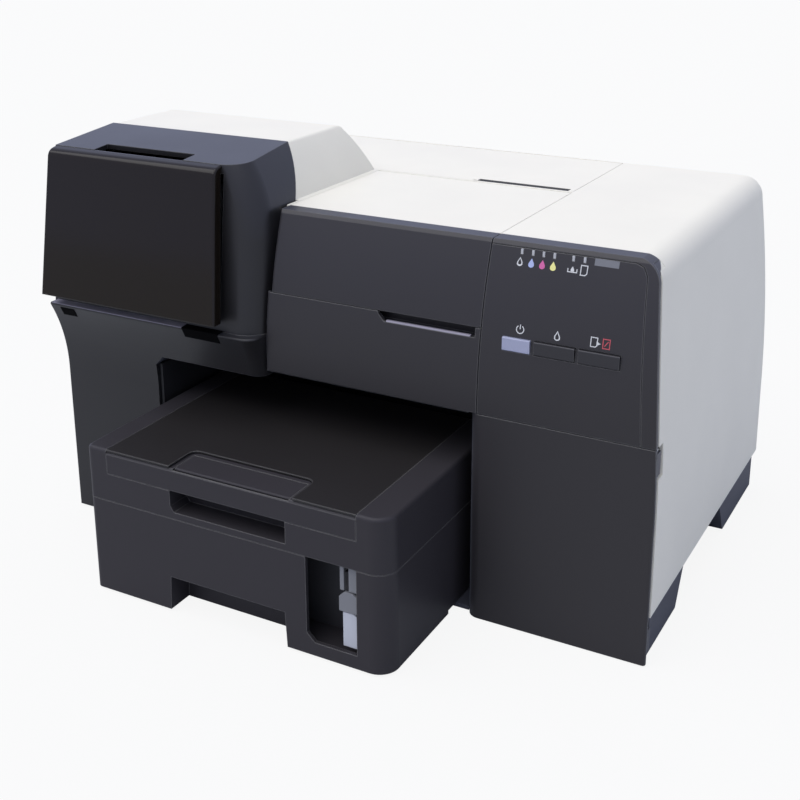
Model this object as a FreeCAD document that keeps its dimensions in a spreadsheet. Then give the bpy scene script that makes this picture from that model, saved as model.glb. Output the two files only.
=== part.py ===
import FreeCAD, Part
import math
import os

import Sketcher

# Desktop office inkjet printer: ink tower on the left, paper cassette below, control panel on the right.
#
# The sub-parts are drawn in millimetres from the front plane (y = 0), the middle of the width (x = 0)
# and the desk (z = 0). Each one is then carried back by the same amount, so that the origin of the
# finished printer is the middle of its footprint, on the desk.
#
# The sizes that set the whole form, in millimetres:
WIDTH = 478
DEPTH = 298
FLAT_TOP = 268
TOWER_TOP = 305.5
CASE_FOOT = 34
WALL = 2.6
FACE_FOOT = 154
FACE_LEAN = 20
TOWER_RIGHT = -51
DOOR_RIGHT = -77
TRAY_FRONT = -92
TRAY_REAR = 238

doc = FreeCAD.newDocument("office_printer")
sheet = doc.addObject("Spreadsheet::Sheet", "Sizes")
Vector = FreeCAD.Vector


class Size:
    """A length that knows its present value and the spreadsheet formula that it comes from."""

    def __init__(self, value, formula):
        self.value = value
        self.formula = formula

    def __add__(self, other):
        other = size(other)
        return Size(self.value + other.value, f"({self.formula} + {other.formula})")

    def __sub__(self, other):
        other = size(other)
        return Size(self.value - other.value, f"({self.formula} - {other.formula})")

    def __mul__(self, other):
        other = size(other)
        return Size(self.value * other.value, f"({self.formula} * {other.formula})")

    def __truediv__(self, other):
        other = size(other)
        return Size(self.value / other.value, f"({self.formula} / {other.formula})")

    def __neg__(self):
        return Size(-self.value, f"(-1 * {self.formula})")

    def __radd__(self, other):
        return size(other) + self

    def __rsub__(self, other):
        return size(other) - self

    def __rmul__(self, other):
        return size(other) * self


def size(number):
    """A Size as it is, and a plain number as a Size with no cell behind it."""
    return number if isinstance(number, Size) else Size(float(number), f"({number})")


def driving(alias, value, meaning):
    """Writes one driving dimension to the spreadsheet and gives it back as a Size."""
    driving.row += 1
    sheet.set(f"A{driving.row}", meaning)
    sheet.set(f"B{driving.row}", str(value))
    sheet.setAlias(f"B{driving.row}", alias)
    return Size(float(value), f"Sizes.{alias}")


driving.row = 0


def bind(feature, quantity, amount):
    """Ties one property of a feature to the spreadsheet."""
    feature.setExpression(quantity, size(amount).formula)


# ---------------------------------------------------------------------------------------------
# Driving dimensions
# ---------------------------------------------------------------------------------------------
width = driving("width", WIDTH, "overall width")
depth = driving("depth", DEPTH, "body depth, front plane to rear foot line")
top_z = driving("top_z", FLAT_TOP, "height of the flat top")
tower_z = driving("tower_z", TOWER_TOP, "height of the ink tower at its rear edge")
case_z = driving("case_z", CASE_FOOT, "height of the lower case, where the upper case starts")
foot_z = driving("foot_z", 1.5, "height of the rubber feet")
wall = driving("wall", WALL, "wall of the moulded shells")
shut = driving("shut", 0.5, "gap along shut lines between covers")
fit = driving("fit", 0.3, "running clearance of sliding pieces")
shaft_play = driving("shaft_play", 0.05, "radial play of a shaft in its bore")
rear_lean = driving("rear_lean", 11, "how far the rear wall leans forward at the top")
side_lean = driving("side_lean", 10, "how far the right side comes in at the top")
bend_z = driving("bend_z", 100, "height where the right side starts to come in")
case_round = driving("case_round", 14, "radius of the upper case's long edges")

face_z = driving("face_z", FACE_FOOT, "height where the front face starts to lean back")
face_in = driving("face_in", FACE_LEAN, "how far the front face leans back at its top edge")
face_top = driving("face_top", 266, "height of the front face's top edge")
ledge_back = driving("ledge_back", 34, "rear edge of the dark ledge on top of the front face")
skin = driving("skin", 3, "thickness of the front panels")
panel_x = driving("panel_x", 116, "shut line between the middle panels and the control panel")
frame_in = driving("frame_in", 221, "inner edge of the front frame at its top")
frame_out = driving("frame_out", 228, "inner edge of the front frame at its foot")
frame_round = driving("frame_round", 16, "radius of the front frame's outer corner")
visor_z = driving("visor_z", 211.8, "bottom edge of the visor")
grip_x = driving("grip_x", 39.5, "left end of the grip under the visor")
grip_tall = driving("grip_tall", 6.5, "height of the grip under the visor")

tower_x = driving("tower_x", TOWER_RIGHT, "right wall of the ink tower")
tower_in = driving("tower_in", 22, "how far the tower's right wall comes in at the top")
tower_step = driving("tower_step", 2.9, "how far the tower's right wall has come in at the flat top")
lean_z = driving("lean_z", 245, "height where the tower's right wall starts to come in")
tower_round = driving("tower_round", 18, "radius of the tower's right front edge")
tower_back = driving("tower_back", 50, "rear of the dark tower below the flat top")
tower_top_back = driving("tower_top_back", 71, "rear of the dark tower at its top")
block_back = driving("block_back", 144, "rear edge of the white block's top")
crease_y = driving("crease_y", 166, "foot of the white block's rear slope, and the lid's rear edge")
leg_x = driving("leg_x", -150, "right edge of the leg below the tower")
tower_floor = driving("tower_floor", 148, "underside of the tower")
sweep_z = driving("sweep_z", 122, "height where the leg starts to sweep forward")
sweep_out = driving("sweep_out", 15.5, "how far the leg sweeps forward under the door")
ledge_z = driving("ledge_z", 180, "height of the ledge under the ink door")

door_x = driving("door_x", DOOR_RIGHT, "right edge of the ink door")
door_in = driving("door_in", 8, "how far the ink door's right edge comes in at its head")
door_foot_y = driving("door_foot_y", -23.5, "foot of the ink door's face")
door_foot_z = driving("door_foot_z", 189, "height of the ink door's foot")
door_head_y = driving("door_head_y", -4.2, "head of the ink door's face")
door_head_z = driving("door_head_z", 297, "height of the ink door's head")
door_deep = driving("door_deep", 8, "depth of the ink door's rim")
door_lip = driving("door_lip", 4.5, "rear edge of the ink door's lip")
door_pin_y = driving("door_pin_y", -13.5, "ink door pin, depth")
door_pin_z = driving("door_pin_z", 192, "ink door pin, height")
door_pin = driving("door_pin", 1.5, "radius of the ink door's pins")

cover_x = driving("cover_x", 110, "left edge of the service cover")
cover_deep = driving("cover_deep", 13, "depth of the service cover's left flange")
cover_round = driving("cover_round", 9, "radius of the service cover's left edge")
cover_pin_x = driving("cover_pin_x", 235.4, "service cover pin, across")
cover_pin_y = driving("cover_pin_y", 8, "service cover pin, depth")
cover_pin = driving("cover_pin", 1.2, "radius of the service cover's pins")

tray_left = driving("tray_left", -141, "left side of the cassette")
tray_right = driving("tray_right", 100, "right side of the cassette")
tray_front = driving("tray_front", TRAY_FRONT, "front of the cassette")
tray_back = driving("tray_back", TRAY_REAR, "rear of the cassette")
tray_z = driving("tray_z", 4.8, "underside of the cassette")
tray_skirt = driving("tray_skirt", 2.2, "lower edge of the cassette's front part")
seam_z = driving("seam_z", 74, "seam between the cassette and its cover")
tray_top = driving("tray_top", 113, "top of the cassette cover")
tray_wall = driving("tray_wall", 3, "wall of the cassette")
tray_round = driving("tray_round", 14, "radius of the cassette's right front corner")
tray_cover_back = driving("tray_cover_back", 75, "rear edge of the cassette cover")
slide_left = driving("slide_left", -123, "left edge of the output slide")
slide_right = driving("slide_right", 77, "right edge of the output slide")
slide_tall = driving("slide_tall", 18, "height of the output slide's front")
slide_thick = driving("slide_thick", 5, "thickness of the output slide's plate")
stop_left = driving("stop_left", -66, "left edge of the paper stop")
stop_right = driving("stop_right", 27, "right edge of the paper stop")
stop_long = driving("stop_long", 22, "length of the paper stop")

button_z = driving("button_z", 200, "bottom edge of the buttons")
button_tall = driving("button_tall", 9.6, "height of the buttons")
button_travel = driving("button_travel", 1.5, "travel of the buttons")

carriage_wide = driving("carriage_wide", 68, "width of the carriage")
carriage_home = driving("carriage_home", 150, "left side of the carriage at home")
rail_y = driving("rail_y", 176, "guide rail, depth")
rail_z = driving("rail_z", 190, "guide rail, height")
rail_r = driving("rail_r", 4, "radius of the guide rail")
feed_y = driving("feed_y", 212, "feed roller, depth")
feed_z = driving("feed_z", 151, "feed roller, height")
feed_r = driving("feed_r", 7, "radius of the feed roller")
exit_y = driving("exit_y", 142, "exit roller, depth")
exit_r = driving("exit_r", 6, "radius of the exit roller")
pick_y = driving("pick_y", 200, "pick-up roller, depth")
pick_z = driving("pick_z", 87, "pick-up roller, height")
pick_r = driving("pick_r", 16, "radius of the pick-up roller")
turn_y = driving("turn_y", 236, "turn roller, depth")
turn_z = driving("turn_z", 112, "turn roller, height")
turn_r = driving("turn_r", 24, "radius of the turn roller")
shaft_r = driving("shaft_r", 4, "radius of the roller shafts")
plate = driving("plate", 1.6, "thickness of the steel plates")
plate_left = driving("plate_left", -150, "outer face of the left side plate")
plate_right = driving("plate_right", 224, "inner face of the right side plate")
gear_module = driving("gear_module", 1.5, "module of the gears and racks")
feed_teeth = driving("feed_teeth", 30, "teeth of the feed gear")
motor_teeth = driving("motor_teeth", 10, "teeth of the feed motor's pinion")
guide_teeth = driving("guide_teeth", 12, "teeth of the paper guides' pinion")
paper_wide = driving("paper_wide", 216, "widest sheet that the cassette holds")
doc.recompute()

half = width / 2
rear_top = depth - rear_lean
home_shift = (-tray_front - depth) / 2
nodes = []


# ---------------------------------------------------------------------------------------------
# Ways of making a piece
# ---------------------------------------------------------------------------------------------
def keep(feature, label):
    """Names a finished sub-part and carries it back to the printer's own origin."""
    feature.Label = label
    drawn_at = [formula for name, formula in feature.ExpressionEngine if name.endswith("Placement.Base.y")]
    feature.setExpression("Placement.Base.y", " + ".join(drawn_at + [home_shift.formula]))
    nodes.append(feature)
    return feature


def body(label):
    """An empty PartDesign body, which becomes one sub-part."""
    return keep(doc.addObject("PartDesign::Body", label + "_body"), label)


def tool_body(label):
    """A PartDesign body that only shapes another piece."""
    return doc.addObject("PartDesign::Body", label)


def sketch(owner, role, offset, corners):
    """A closed outline on one of the body's own planes. A corner is (u, v), or (u, v, level) where
    the side that leaves it is an arc whose centre lies at v = level."""
    drawing = owner.newObject("Sketcher::SketchObject", owner.Name + "_outline")
    base = next(item for item in owner.Origin.OriginFeatures if item.Role == role)
    drawing.AttachmentSupport = [(base, "")]
    drawing.MapMode = "FlatFace"
    bind(drawing, "AttachmentOffset.Base.z", offset)
    points = [Vector(size(corner[0]).value, size(corner[1]).value, 0) for corner in corners]
    ends = []
    for number, corner in enumerate(corners):
        here = points[number]
        there = points[(number + 1) % len(points)]
        if len(corner) == 2:
            drawing.addGeometry(Part.LineSegment(here, there))
            ends.append((1, 2))
            continue
        level = size(corner[2]).value
        middle = (here + there) / 2
        chord = there - here
        centre = Vector(middle.x - chord.y * (level - middle.y) / chord.x, level, 0)
        spoke = (middle - centre).normalize() * (here - centre).Length
        arc = Part.Arc(here, centre + spoke, there).toShape().Curve
        turn = (here - centre).cross(there - centre).z
        first, last = (here, there) if turn > 0 else (there, here)
        start = math.atan2(first.y - centre.y, first.x - centre.x)
        stop = math.atan2(last.y - centre.y, last.x - centre.x)
        circle = Part.Circle(centre, Vector(0, 0, 1), arc.Radius)
        drawing.addGeometry(Part.ArcOfCircle(circle, start, stop))
        ends.append((1, 2) if turn > 0 else (2, 1))
    for number in range(len(corners)):
        after = (number + 1) % len(corners)
        drawing.addConstraint(
            Sketcher.Constraint("Coincident", number, ends[number][1], after, ends[after][0]))
    for number, corner in enumerate(corners):
        fix(drawing, "DistanceX", number, ends[number][0], corner[0])
        fix(drawing, "DistanceY", number, ends[number][0], corner[1])
        if len(corner) == 3:
            fix(drawing, "DistanceY", number, 3, corner[2])
    return drawing


def fix(drawing, direction, piece, point, amount):
    """Holds one coordinate of a sketch point to the spreadsheet."""
    amount = size(amount)
    index = drawing.addConstraint(Sketcher.Constraint(direction, piece, point, amount.value))
    bind(drawing, f"Constraints[{index}]", amount)


def pad(owner, role, low, high, corners):
    """Adds an outline, pushed from low to high along the plane's normal."""
    offset = -size(high) if role == "XZ_Plane" else low
    feature = owner.newObject("PartDesign::Pad", owner.Name + "_pad")
    feature.Profile = sketch(owner, role, offset, corners)
    bind(feature, "Length", size(high) - low)
    return feature


def pocket(owner, role, low, high, corners):
    """Takes an outline away, from low to high along the plane's normal."""
    offset = -size(low) if role == "XZ_Plane" else high
    feature = owner.newObject("PartDesign::Pocket", owner.Name + "_pocket")
    feature.Profile = sketch(owner, role, offset, corners)
    bind(feature, "Length", size(high) - low)
    return feature


def box_corners(low_u, high_u, low_v, high_v):
    """The four corners of an upright rectangle."""
    return [(low_u, low_v), (high_u, low_v), (high_u, high_v), (low_u, high_v)]


def point(x, y, z):
    """A place in the drawing, worked out from sizes."""
    return Vector(size(x).value, size(y).value, size(z).value)


def fillet(owner, radius, places, kind="Fillet"):
    """Rounds, or bevels, the edges of a body that lie nearest to the given places."""
    base = owner.Tip
    doc.recompute([base])
    picked = []
    for place in places:
        vertex = Part.Vertex(place)
        reach = [edge.distToShape(vertex)[0] for edge in base.Shape.Edges]
        picked.append("Edge%d" % (reach.index(min(reach)) + 1))
    feature = owner.newObject("PartDesign::" + kind, owner.Name + "_edge")
    feature.Base = (base, sorted(set(picked)))
    bind(feature, "Radius" if kind == "Fillet" else "Size", radius)
    return feature


def box(name, x, y, z):
    """A rectangular block between pairs of coordinates."""
    block = doc.addObject("Part::Box", name)
    for letter, length, (low, high) in (("x", "Length", x), ("y", "Width", y), ("z", "Height", z)):
        bind(block, "Placement.Base." + letter, low)
        bind(block, length, size(high) - low)
    return block


TURNS = {"x": (Vector(0, 1, 0), 90), "y": (Vector(1, 0, 0), -90), "z": (Vector(0, 0, 1), 0)}


def rod(name, axis, radius, low, high, first, second):
    """A cylinder along x, y or z. first and second are its two other coordinates, in order."""
    cylinder = doc.addObject("Part::Cylinder", name)
    cylinder.Placement = FreeCAD.Placement(Vector(), FreeCAD.Rotation(*TURNS[axis]))
    bind(cylinder, "Radius", radius)
    bind(cylinder, "Height", size(high) - low)
    places = {"x": (low, first, second), "y": (first, low, second), "z": (first, second, low)}[axis]
    for letter, place in zip("xyz", places):
        bind(cylinder, "Placement.Base." + letter, place)
    return cylinder


def join(name, *pieces):
    """One solid, or one group of solids, from several."""
    whole = doc.addObject("Part::MultiFuse", name)
    whole.Shapes = list(pieces)
    return whole


def cut(name, base, *tools):
    """A base with tools taken away."""
    rest = doc.addObject("Part::Cut", name)
    rest.Base = base
    rest.Tool = tools[0] if len(tools) == 1 else join(name + "_tools", *tools)
    return rest


# ---------------------------------------------------------------------------------------------
# Lower case and feet: two moulded blocks with an arch between their feet, a rear beam and the
# runners that carry the cassette.
# ---------------------------------------------------------------------------------------------
case_side = half - 3
arch_front = size(76)
arch_back = size(205)
block_left = tray_left - 5
block_right = tray_right + 10
pin_pit = cover_pin_y + 6


def arch(name, low, high):
    """The open arch between a side's front and rear foot."""
    prism = tool_body(name)
    pad(prism, "YZ_Plane", low, high,
        [(arch_front, 0), (arch_back, 0), (arch_back - 16, 28), (arch_front + 16, 28)])
    return prism


lower_blocks = join(
    "lower_blocks",
    box("left_block", (-case_side, block_left), (tower_back + 1, depth - 6), (foot_z, case_z)),
    box("right_block", (block_right, case_side), (skin + shut + 2, depth - 6), (foot_z, case_z)),
    box("rear_beam", (block_left, block_right), (tray_back + 8, depth - 6), (foot_z, case_z)),
    box("left_tie", (-case_side, leg_x - 3.5), (skin + 0.3, tower_back + 1), (case_z - 4, case_z)))
lower_cut = cut(
    "lower_cut", lower_blocks,
    arch("left_arch", -half, block_left),
    arch("right_arch", block_right, half),
    box("pin_pit", (cover_pin_x - 6, half), (0, pin_pit), (foot_z + 3, case_z - 6)),
    box("flange_pit", (block_right - 1, cover_x + skin + 3), (0, cover_deep + 1), (0, case_z + 1)),
    rod("low_pin_hole", "z", cover_pin, foot_z + 0.5, case_z, cover_pin_x, cover_pin_y))
keep(join(
    "lower_case", lower_cut,
    box("left_runner", (block_left, tray_left + 7), (6, tray_back + 8), (foot_z, tray_z - fit)),
    box("right_runner", (tray_right - 7, block_right), (6, tray_back + 8), (foot_z, tray_z - fit))),
    "lower_case")

foot_places = [(-half + 24, depth - 30), (half - 24, depth - 30), (-half + 24, 62), (half - 24, 62)]
keep(join("feet", *[rod(f"foot_{number}", "z", 8, 0, foot_z, x, y)
                    for number, (x, y) in enumerate(foot_places, 1)]), "rubber_feet")


# ---------------------------------------------------------------------------------------------
# Upper case: one white moulded shell with a raised block behind the ink tower.
# ---------------------------------------------------------------------------------------------
corner_x = half - side_lean
corner_z = top_z - frame_round
rear_round = size(6)


def case_form(name, inset, low):
    """The upper case's outer form, or with an inset the hollow inside it."""
    form = tool_body(name)
    pad(form, "XZ_Plane", 0, depth, [
        (-half + 0.4 + inset, low), (half - inset, low), (half - inset, bend_z, bend_z),
        (corner_x - inset, corner_z, corner_z), (corner_x - frame_round, top_z - inset),
        (tower_x - tower_step - inset, top_z - inset, lean_z), (tower_x - tower_in - inset, tower_z - inset),
        (-half + 0.4 + inset, tower_z - inset)])
    pocket(form, "YZ_Plane", -half - 1, half + 1, [
        (block_back - inset, tower_z + 9), (block_back - inset, tower_z - inset),
        (crease_y - inset, top_z - inset), (rear_top - inset, top_z - inset),
        (depth - inset, case_z), (depth - inset, low - 9), (depth + 9, low - 9),
        (depth + 9, tower_z + 9)])
    fillet(form, rear_round - inset, [
        point(half - inset, depth - 2 - inset, 60), point(half - 3 - inset, depth - 10 - inset, 200),
        point(0, rear_top - inset, top_z - inset), point(-half + inset, depth - 2 - inset, 60)])
    return form


case_outer = case_form("case_outer", 0, case_z)
fillet(case_outer, 4, [
    point(tower_x - tower_in, 90, tower_z), point(-150, block_back, tower_z), point(-half, 90, tower_z)])
case_inner = case_form("case_inner", wall, case_z - 1)

front_trim = tool_body("front_trim")
pad(front_trim, "YZ_Plane", tower_x, half + 2, [
    (-20, case_z - 9), (skin + 2.5, case_z - 9), (skin + 2.5, face_z, face_z),
    (face_in + 4.5, face_top - 5), (ledge_back + 0.3, face_top - 5),
    (ledge_back + 0.3, tower_z + 9), (-20, tower_z + 9)])
tower_trim = tool_body("tower_trim")
pad(tower_trim, "YZ_Plane", -half - 2, tower_x, [
    (-20, case_z - 9), (tower_back + 0.3, case_z - 9), (tower_back + 0.3, top_z),
    (tower_top_back + 0.3, tower_z), (tower_top_back + 0.3, tower_z + 9), (-20, tower_z + 9)])
lid_left = tower_x + 2
lid_right = panel_x - 0.8
lid_thick = size(3.4)
lid_back = crease_y - 2
lid_pin_y = lid_back - lid_thick / 2
lid_pin_z = top_z - lid_thick / 2
rear_lid_left = -half + 11
rear_lid_thick = size(3)
rear_lid_front = crease_y + 1.6
rear_lid_back = rear_top - 6.5
rear_pin_y = rear_lid_back - rear_lid_thick / 2
rear_pin_z = top_z - rear_lid_thick / 2
pin_small = size(1.1)
shell = cut("case_shell", case_outer, case_inner)
shell_open = cut(
    "case_open", shell, front_trim, tower_trim,
    box("lid_hole", (lid_left, panel_x - 0.4), (ledge_back, crease_y - 1.6), (top_z - 9, top_z + 3)),
    box("rear_recess", (rear_lid_left - 0.4, panel_x - 0.4), (crease_y + 1.2, rear_lid_back + 0.4),
        (top_z - 3.2, top_z + 3)),
    box("rear_slot", (-138, 106), (crease_y + 9, rear_lid_back - 9), (top_z - 9, top_z + 3)),
    box("unit_hole", (-136, 104), (depth - 30, depth + 3), (58, 186)),
    box("inlet_hole", (-222, -188), (depth - 30, depth + 3), (48, 76)),
    box("port_hole", (200, 226), (depth - 30, depth + 3), (56, 80)),
    box("pin_notch", (cover_pin_x - 5, half + 1), (0, pin_pit), (face_z - 22, face_z)))
rear_shelf = box("rear_shelf", (rear_lid_left - 3, panel_x + 2), (crease_y - 1.4, rear_lid_back + 1.5),
                 (top_z - 3.2 - wall, top_z - 3.2))
shelf_hole = box("shelf_hole", (-138, 106), (crease_y + 9, rear_lid_back - 9), (top_z - 9, top_z - 3))
boss_z = (top_z - 6, top_z - 1)
bosses = [
    box("lid_boss_right", (panel_x - 0.4, panel_x + 6), (lid_pin_y - 3, crease_y), boss_z),
    box("lid_boss_left", (tower_x - 5, lid_left), (lid_pin_y - 3, crease_y), boss_z),
    box("rear_boss_right", (panel_x - 0.4, panel_x + 6), (rear_pin_y - 3, rear_pin_y + 4), boss_z),
    box("rear_boss_left", (rear_lid_left - 6, rear_lid_left - 0.4), (rear_pin_y - 3, rear_pin_y + 4), boss_z),
    box("cover_boss", (cover_pin_x - 5, half - wall + 0.5), (6, pin_pit), (face_z - 30, face_z - 22))]
pin_bore = pin_small + shaft_play
pin_holes = [
    rod("lid_pin_hole_right", "x", pin_bore, lid_right, panel_x + 4, lid_pin_y, lid_pin_z),
    rod("lid_pin_hole_left", "x", pin_bore, tower_x - 3, lid_left, lid_pin_y, lid_pin_z),
    rod("rear_pin_hole_right", "x", pin_bore, lid_right, panel_x + 4, rear_pin_y, rear_pin_z),
    rod("rear_pin_hole_left", "x", pin_bore, rear_lid_left - 4, rear_lid_left, rear_pin_y, rear_pin_z),
    rod("cover_pin_hole", "z", cover_pin, face_z - 31, face_z - 21, cover_pin_x, cover_pin_y)]
shelved = join("case_shelved", shell_open, cut("shelf_frame", rear_shelf, shelf_hole), *bosses)
keep(cut("upper_case", shelved, *pin_holes), "upper_case")


# ---------------------------------------------------------------------------------------------
# Front panels: one leaning skin, split into visor, lower panel, control panel and frame.
# ---------------------------------------------------------------------------------------------
def front_skin(owner, left, right):
    """The leaning front skin with the ledge on its top, between two x positions."""
    return pad(owner, "YZ_Plane", left, right, [
        (0, face_z, face_z), (face_in, face_top), (face_in + 2, face_top + 2.3),
        (ledge_back, face_top + 2.3), (ledge_back, face_top - 0.7),
        (face_in + skin, face_top - 0.7, face_z), (skin, face_z)])


visor = body("visor")
front_skin(visor, tower_x + 3.5, panel_x - 0.4)
pocket(visor, "YZ_Plane", -half, half, box_corners(-9, ledge_back + 9, face_z - 9, visor_z))
fillet(visor, 2.4, [point(tower_x + 3.5, 12, (visor_z + face_top) / 2)])

lower_panel = body("lower_panel")
front_skin(lower_panel, tower_x + shut, panel_x - 0.4)
pocket(lower_panel, "YZ_Plane", -half, half,
       box_corners(-9, ledge_back + 9, visor_z - shut, tower_z))
pocket(lower_panel, "XZ_Plane", -9, ledge_back, [
    (grip_x, visor_z), (grip_x, visor_z - 2), (grip_x + 5, visor_z - shut - grip_tall),
    (panel_x - 4, visor_z - shut - grip_tall), (panel_x - 4, visor_z)])
pad(lower_panel, "YZ_Plane", tower_x + shut, cover_x - shut,
    [(0, face_z), (0.6, face_z - 1), (30, face_z - 1), (30, face_z + 2), (skin, face_z + 2)])
grip_floor = visor_z - shut - grip_tall
pad(lower_panel, "YZ_Plane", grip_x - 2, panel_x - 1, [
    (5, grip_floor - 3), (16, grip_floor - 3), (16, visor_z - 1.5), (14, visor_z - 1.5),
    (14, grip_floor - 0.6), (5, grip_floor - 0.6)])
fillet(lower_panel, 2.4, [point(tower_x + shut, 2, face_z + 25)])

front_frame = body("front_frame")
front_skin(front_frame, panel_x + 0.4, half)
pocket(front_frame, "XZ_Plane", -9, ledge_back + 9, [
    (half, bend_z, bend_z), (corner_x, corner_z, corner_z), (corner_x - frame_round, top_z + 0.6),
    (corner_x - frame_round, tower_z), (half + 20, tower_z), (half + 20, bend_z)])
pocket(front_frame, "XZ_Plane", -9, face_in + skin + 0.3, [
    (panel_x - 9, face_z - 9), (frame_out, face_z - 9), (frame_out, face_z), (frame_in, face_top - 8),
    (frame_in - 3, face_top - 2.5), (frame_in - 8, face_top - 0.5), (panel_x - 9, face_top - 0.5)])
pad(front_frame, "YZ_Plane", frame_out, half - 4,
    [(0, face_z), (0.5, face_z - 0.1), (pin_pit - 1, face_z - 0.1), (pin_pit - 1, face_z + 3), (skin, face_z + 3)])

control_panel = body("control_panel")
front_skin(control_panel, panel_x + 0.4, frame_out)
pocket(control_panel, "YZ_Plane", -half, half,
       box_corners(-9, ledge_back + 9, face_top - 0.9, tower_z))
pocket(control_panel, "XZ_Plane", -9, ledge_back, [
    (frame_out - 0.4, face_z - 9), (frame_out - 0.4, face_z), (frame_in - 0.4, face_top - 8.4),
    (frame_in - 3.4, face_top - 2.9), (frame_in - 8.4, face_top - 0.9), (frame_in - 8.4, tower_z),
    (half, tower_z), (half, face_z - 9)])

button_spans = {"power_button": (131.6, 151.2), "ink_button": (153.4, 181.2), "paper_button": (183.2, 210.8)}
for left, right in button_spans.values():
    pocket(control_panel, "XZ_Plane", -9, ledge_back,
           box_corners(left, right, button_z, button_z + button_tall))
lens_places = [137.7, 145.3, 152.5, 159.8, 172.4, 179.9]
lens_z = face_top - 3
for place in lens_places:
    pocket(control_panel, "XZ_Plane", -9, ledge_back,
           box_corners(place - 0.8, place + 0.8, lens_z - 1.8, lens_z + 1.6))

button_face = size(2.6)
for name, (left, right) in button_spans.items():
    button = body(name)
    pad(button, "XZ_Plane", button_face, 12,
        box_corners(left + fit, right - fit, button_z + fit, button_z + button_tall - fit))
    fillet(button, 0.8, [point((left + right) / 2, button_face, button_z + button_tall - fit),
                         point((left + right) / 2, button_face, button_z + fit)])
board_y = size(12) + button_travel + 1.4
led_y = size(26.4)
switches = [box(f"switch_{number}", ((left + right) / 2 - 3, (left + right) / 2 + 3),
                (board_y - 1.1, board_y), (button_z + 2, button_z + 8))
            for number, (left, right) in enumerate(button_spans.values(), 1)]
keep(join("board_parts",
          box("button_card", (panel_x + 5, frame_in - 6), (board_y, board_y + 1.6), (button_z - 10, 230)),
          box("card_rib", (panel_x + 5, panel_x + 9), (10.7, board_y), (button_z + 18, button_z + 22)),
          box("led_shelf", (panel_x + 8, 184), (board_y + 1, led_y + 1.6), (228.4, 230)),
          box("led_card", (panel_x + 8, 184), (led_y, led_y + 1.6), (228.4, face_top - 1.2)), *switches),
     "button_board")
keep(join("lenses", *[box(f"lens_{number}", (place - 0.8, place + 0.8), (18.4, led_y - 0.1),
                          (lens_z - 1.8, lens_z + 1.6))
                      for number, place in enumerate(lens_places, 1)]), "indicator_lenses")


# ---------------------------------------------------------------------------------------------
# Lid: a flat white plate on the visor's ledge, turning on two pins at its rear edge.
# ---------------------------------------------------------------------------------------------
def cylinder_in(owner, kind, name, axis, radius, low, high, first, second):
    """Adds a cylinder along x or z to a body, or with kind Subtractive drills one."""
    feature = owner.newObject(f"PartDesign::{kind}Cylinder", name)
    feature.Placement = FreeCAD.Placement(Vector(), FreeCAD.Rotation(*TURNS[axis]))
    bind(feature, "Radius", radius)
    bind(feature, "Height", size(high) - low)
    places = (low, first, second) if axis == "x" else (first, second, low)
    for letter, place in zip("xyz", places):
        bind(feature, "Placement.Base." + letter, place)


lid = body("printer_lid")
pad(lid, "YZ_Plane", lid_left + 0.4, lid_right,
    box_corners(ledge_back, lid_back, top_z - lid_thick, top_z))
fillet(lid, lid_thick * 0.48, [point(0, lid_back, top_z), point(0, lid_back, top_z - lid_thick)])
for left, right in ((lid_left - 2.2, lid_left + 0.6), (lid_right - 0.2, lid_right + 3)):
    cylinder_in(lid, "Additive", "lid_pin", "x", pin_small, left, right, lid_pin_y, lid_pin_z)
pocket(lid, "XY_Plane", top_z - 3.5, top_z - wall + 0.4,
       box_corners(lid_left + 4, lid_right - 4, ledge_back + 4, lid_pin_y - 6))

rear_lid = body("rear_tray_lid")
pad(rear_lid, "YZ_Plane", rear_lid_left, lid_right,
    box_corners(rear_lid_front, rear_lid_back, top_z - rear_lid_thick, top_z))
fillet(rear_lid, rear_lid_thick * 0.48,
       [point(0, rear_lid_back, top_z), point(0, rear_lid_back, top_z - rear_lid_thick)])
for left, right in ((rear_lid_left - 3, rear_lid_left + 0.2), (lid_right - 0.2, lid_right + 3)):
    cylinder_in(rear_lid, "Additive", "rear_lid_pin", "x", pin_small, left, right, rear_pin_y, rear_pin_z)
pocket(rear_lid, "XY_Plane", top_z - 9, top_z + 3,
       box_corners(33, 110, rear_lid_front - 3, rear_lid_front + 2.4))


# ---------------------------------------------------------------------------------------------
# Ink tower: housing with its leg, hinged door, cartridge tray and four cartridges.
# ---------------------------------------------------------------------------------------------
housing_face = door_pin_y + 4.5
housing = body("ink_housing")
pad(housing, "YZ_Plane", -half, tower_x, [
    (0, foot_z), (0, sweep_z, sweep_z), (-sweep_out, ledge_z), (housing_face, ledge_z),
    (door_lip + 0.5, door_head_z + 2.3), (tower_top_back, tower_z), (tower_back, top_z),
    (tower_back, foot_z)])
pocket(housing, "XZ_Plane", -40, depth, [
    (tower_x, lean_z, lean_z), (tower_x - tower_in, tower_z), (tower_x - tower_in, tower_z + 9),
    (tower_x + 9, tower_z + 9), (tower_x + 9, lean_z)])
fillet(housing, tower_round, [point(tower_x, -5, (ledge_z + lean_z) / 2)])
fillet(housing, 10, [point(tower_x, -4, 151)])
fillet(housing, 1.2, [point(-150, -sweep_out, ledge_z)])
pocket(housing, "XZ_Plane", -40, depth, [
    (leg_x, 0), (leg_x, tower_floor - 8), (leg_x + 8, tower_floor), (tower_x + 9, tower_floor),
    (tower_x + 9, 0)])
bay_left = -half + 6
bay_right = door_x - 6
pocket(housing, "XZ_Plane", 9, tower_top_back + 3, [
    (-half + 3, ledge_z + 5), (tower_x - 3, ledge_z + 5), (tower_x - 3, lean_z - 2),
    (tower_x - tower_step - 4, top_z - 3), (tower_x - tower_in - 1, door_head_z), (-half + 3, door_head_z)])
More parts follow.
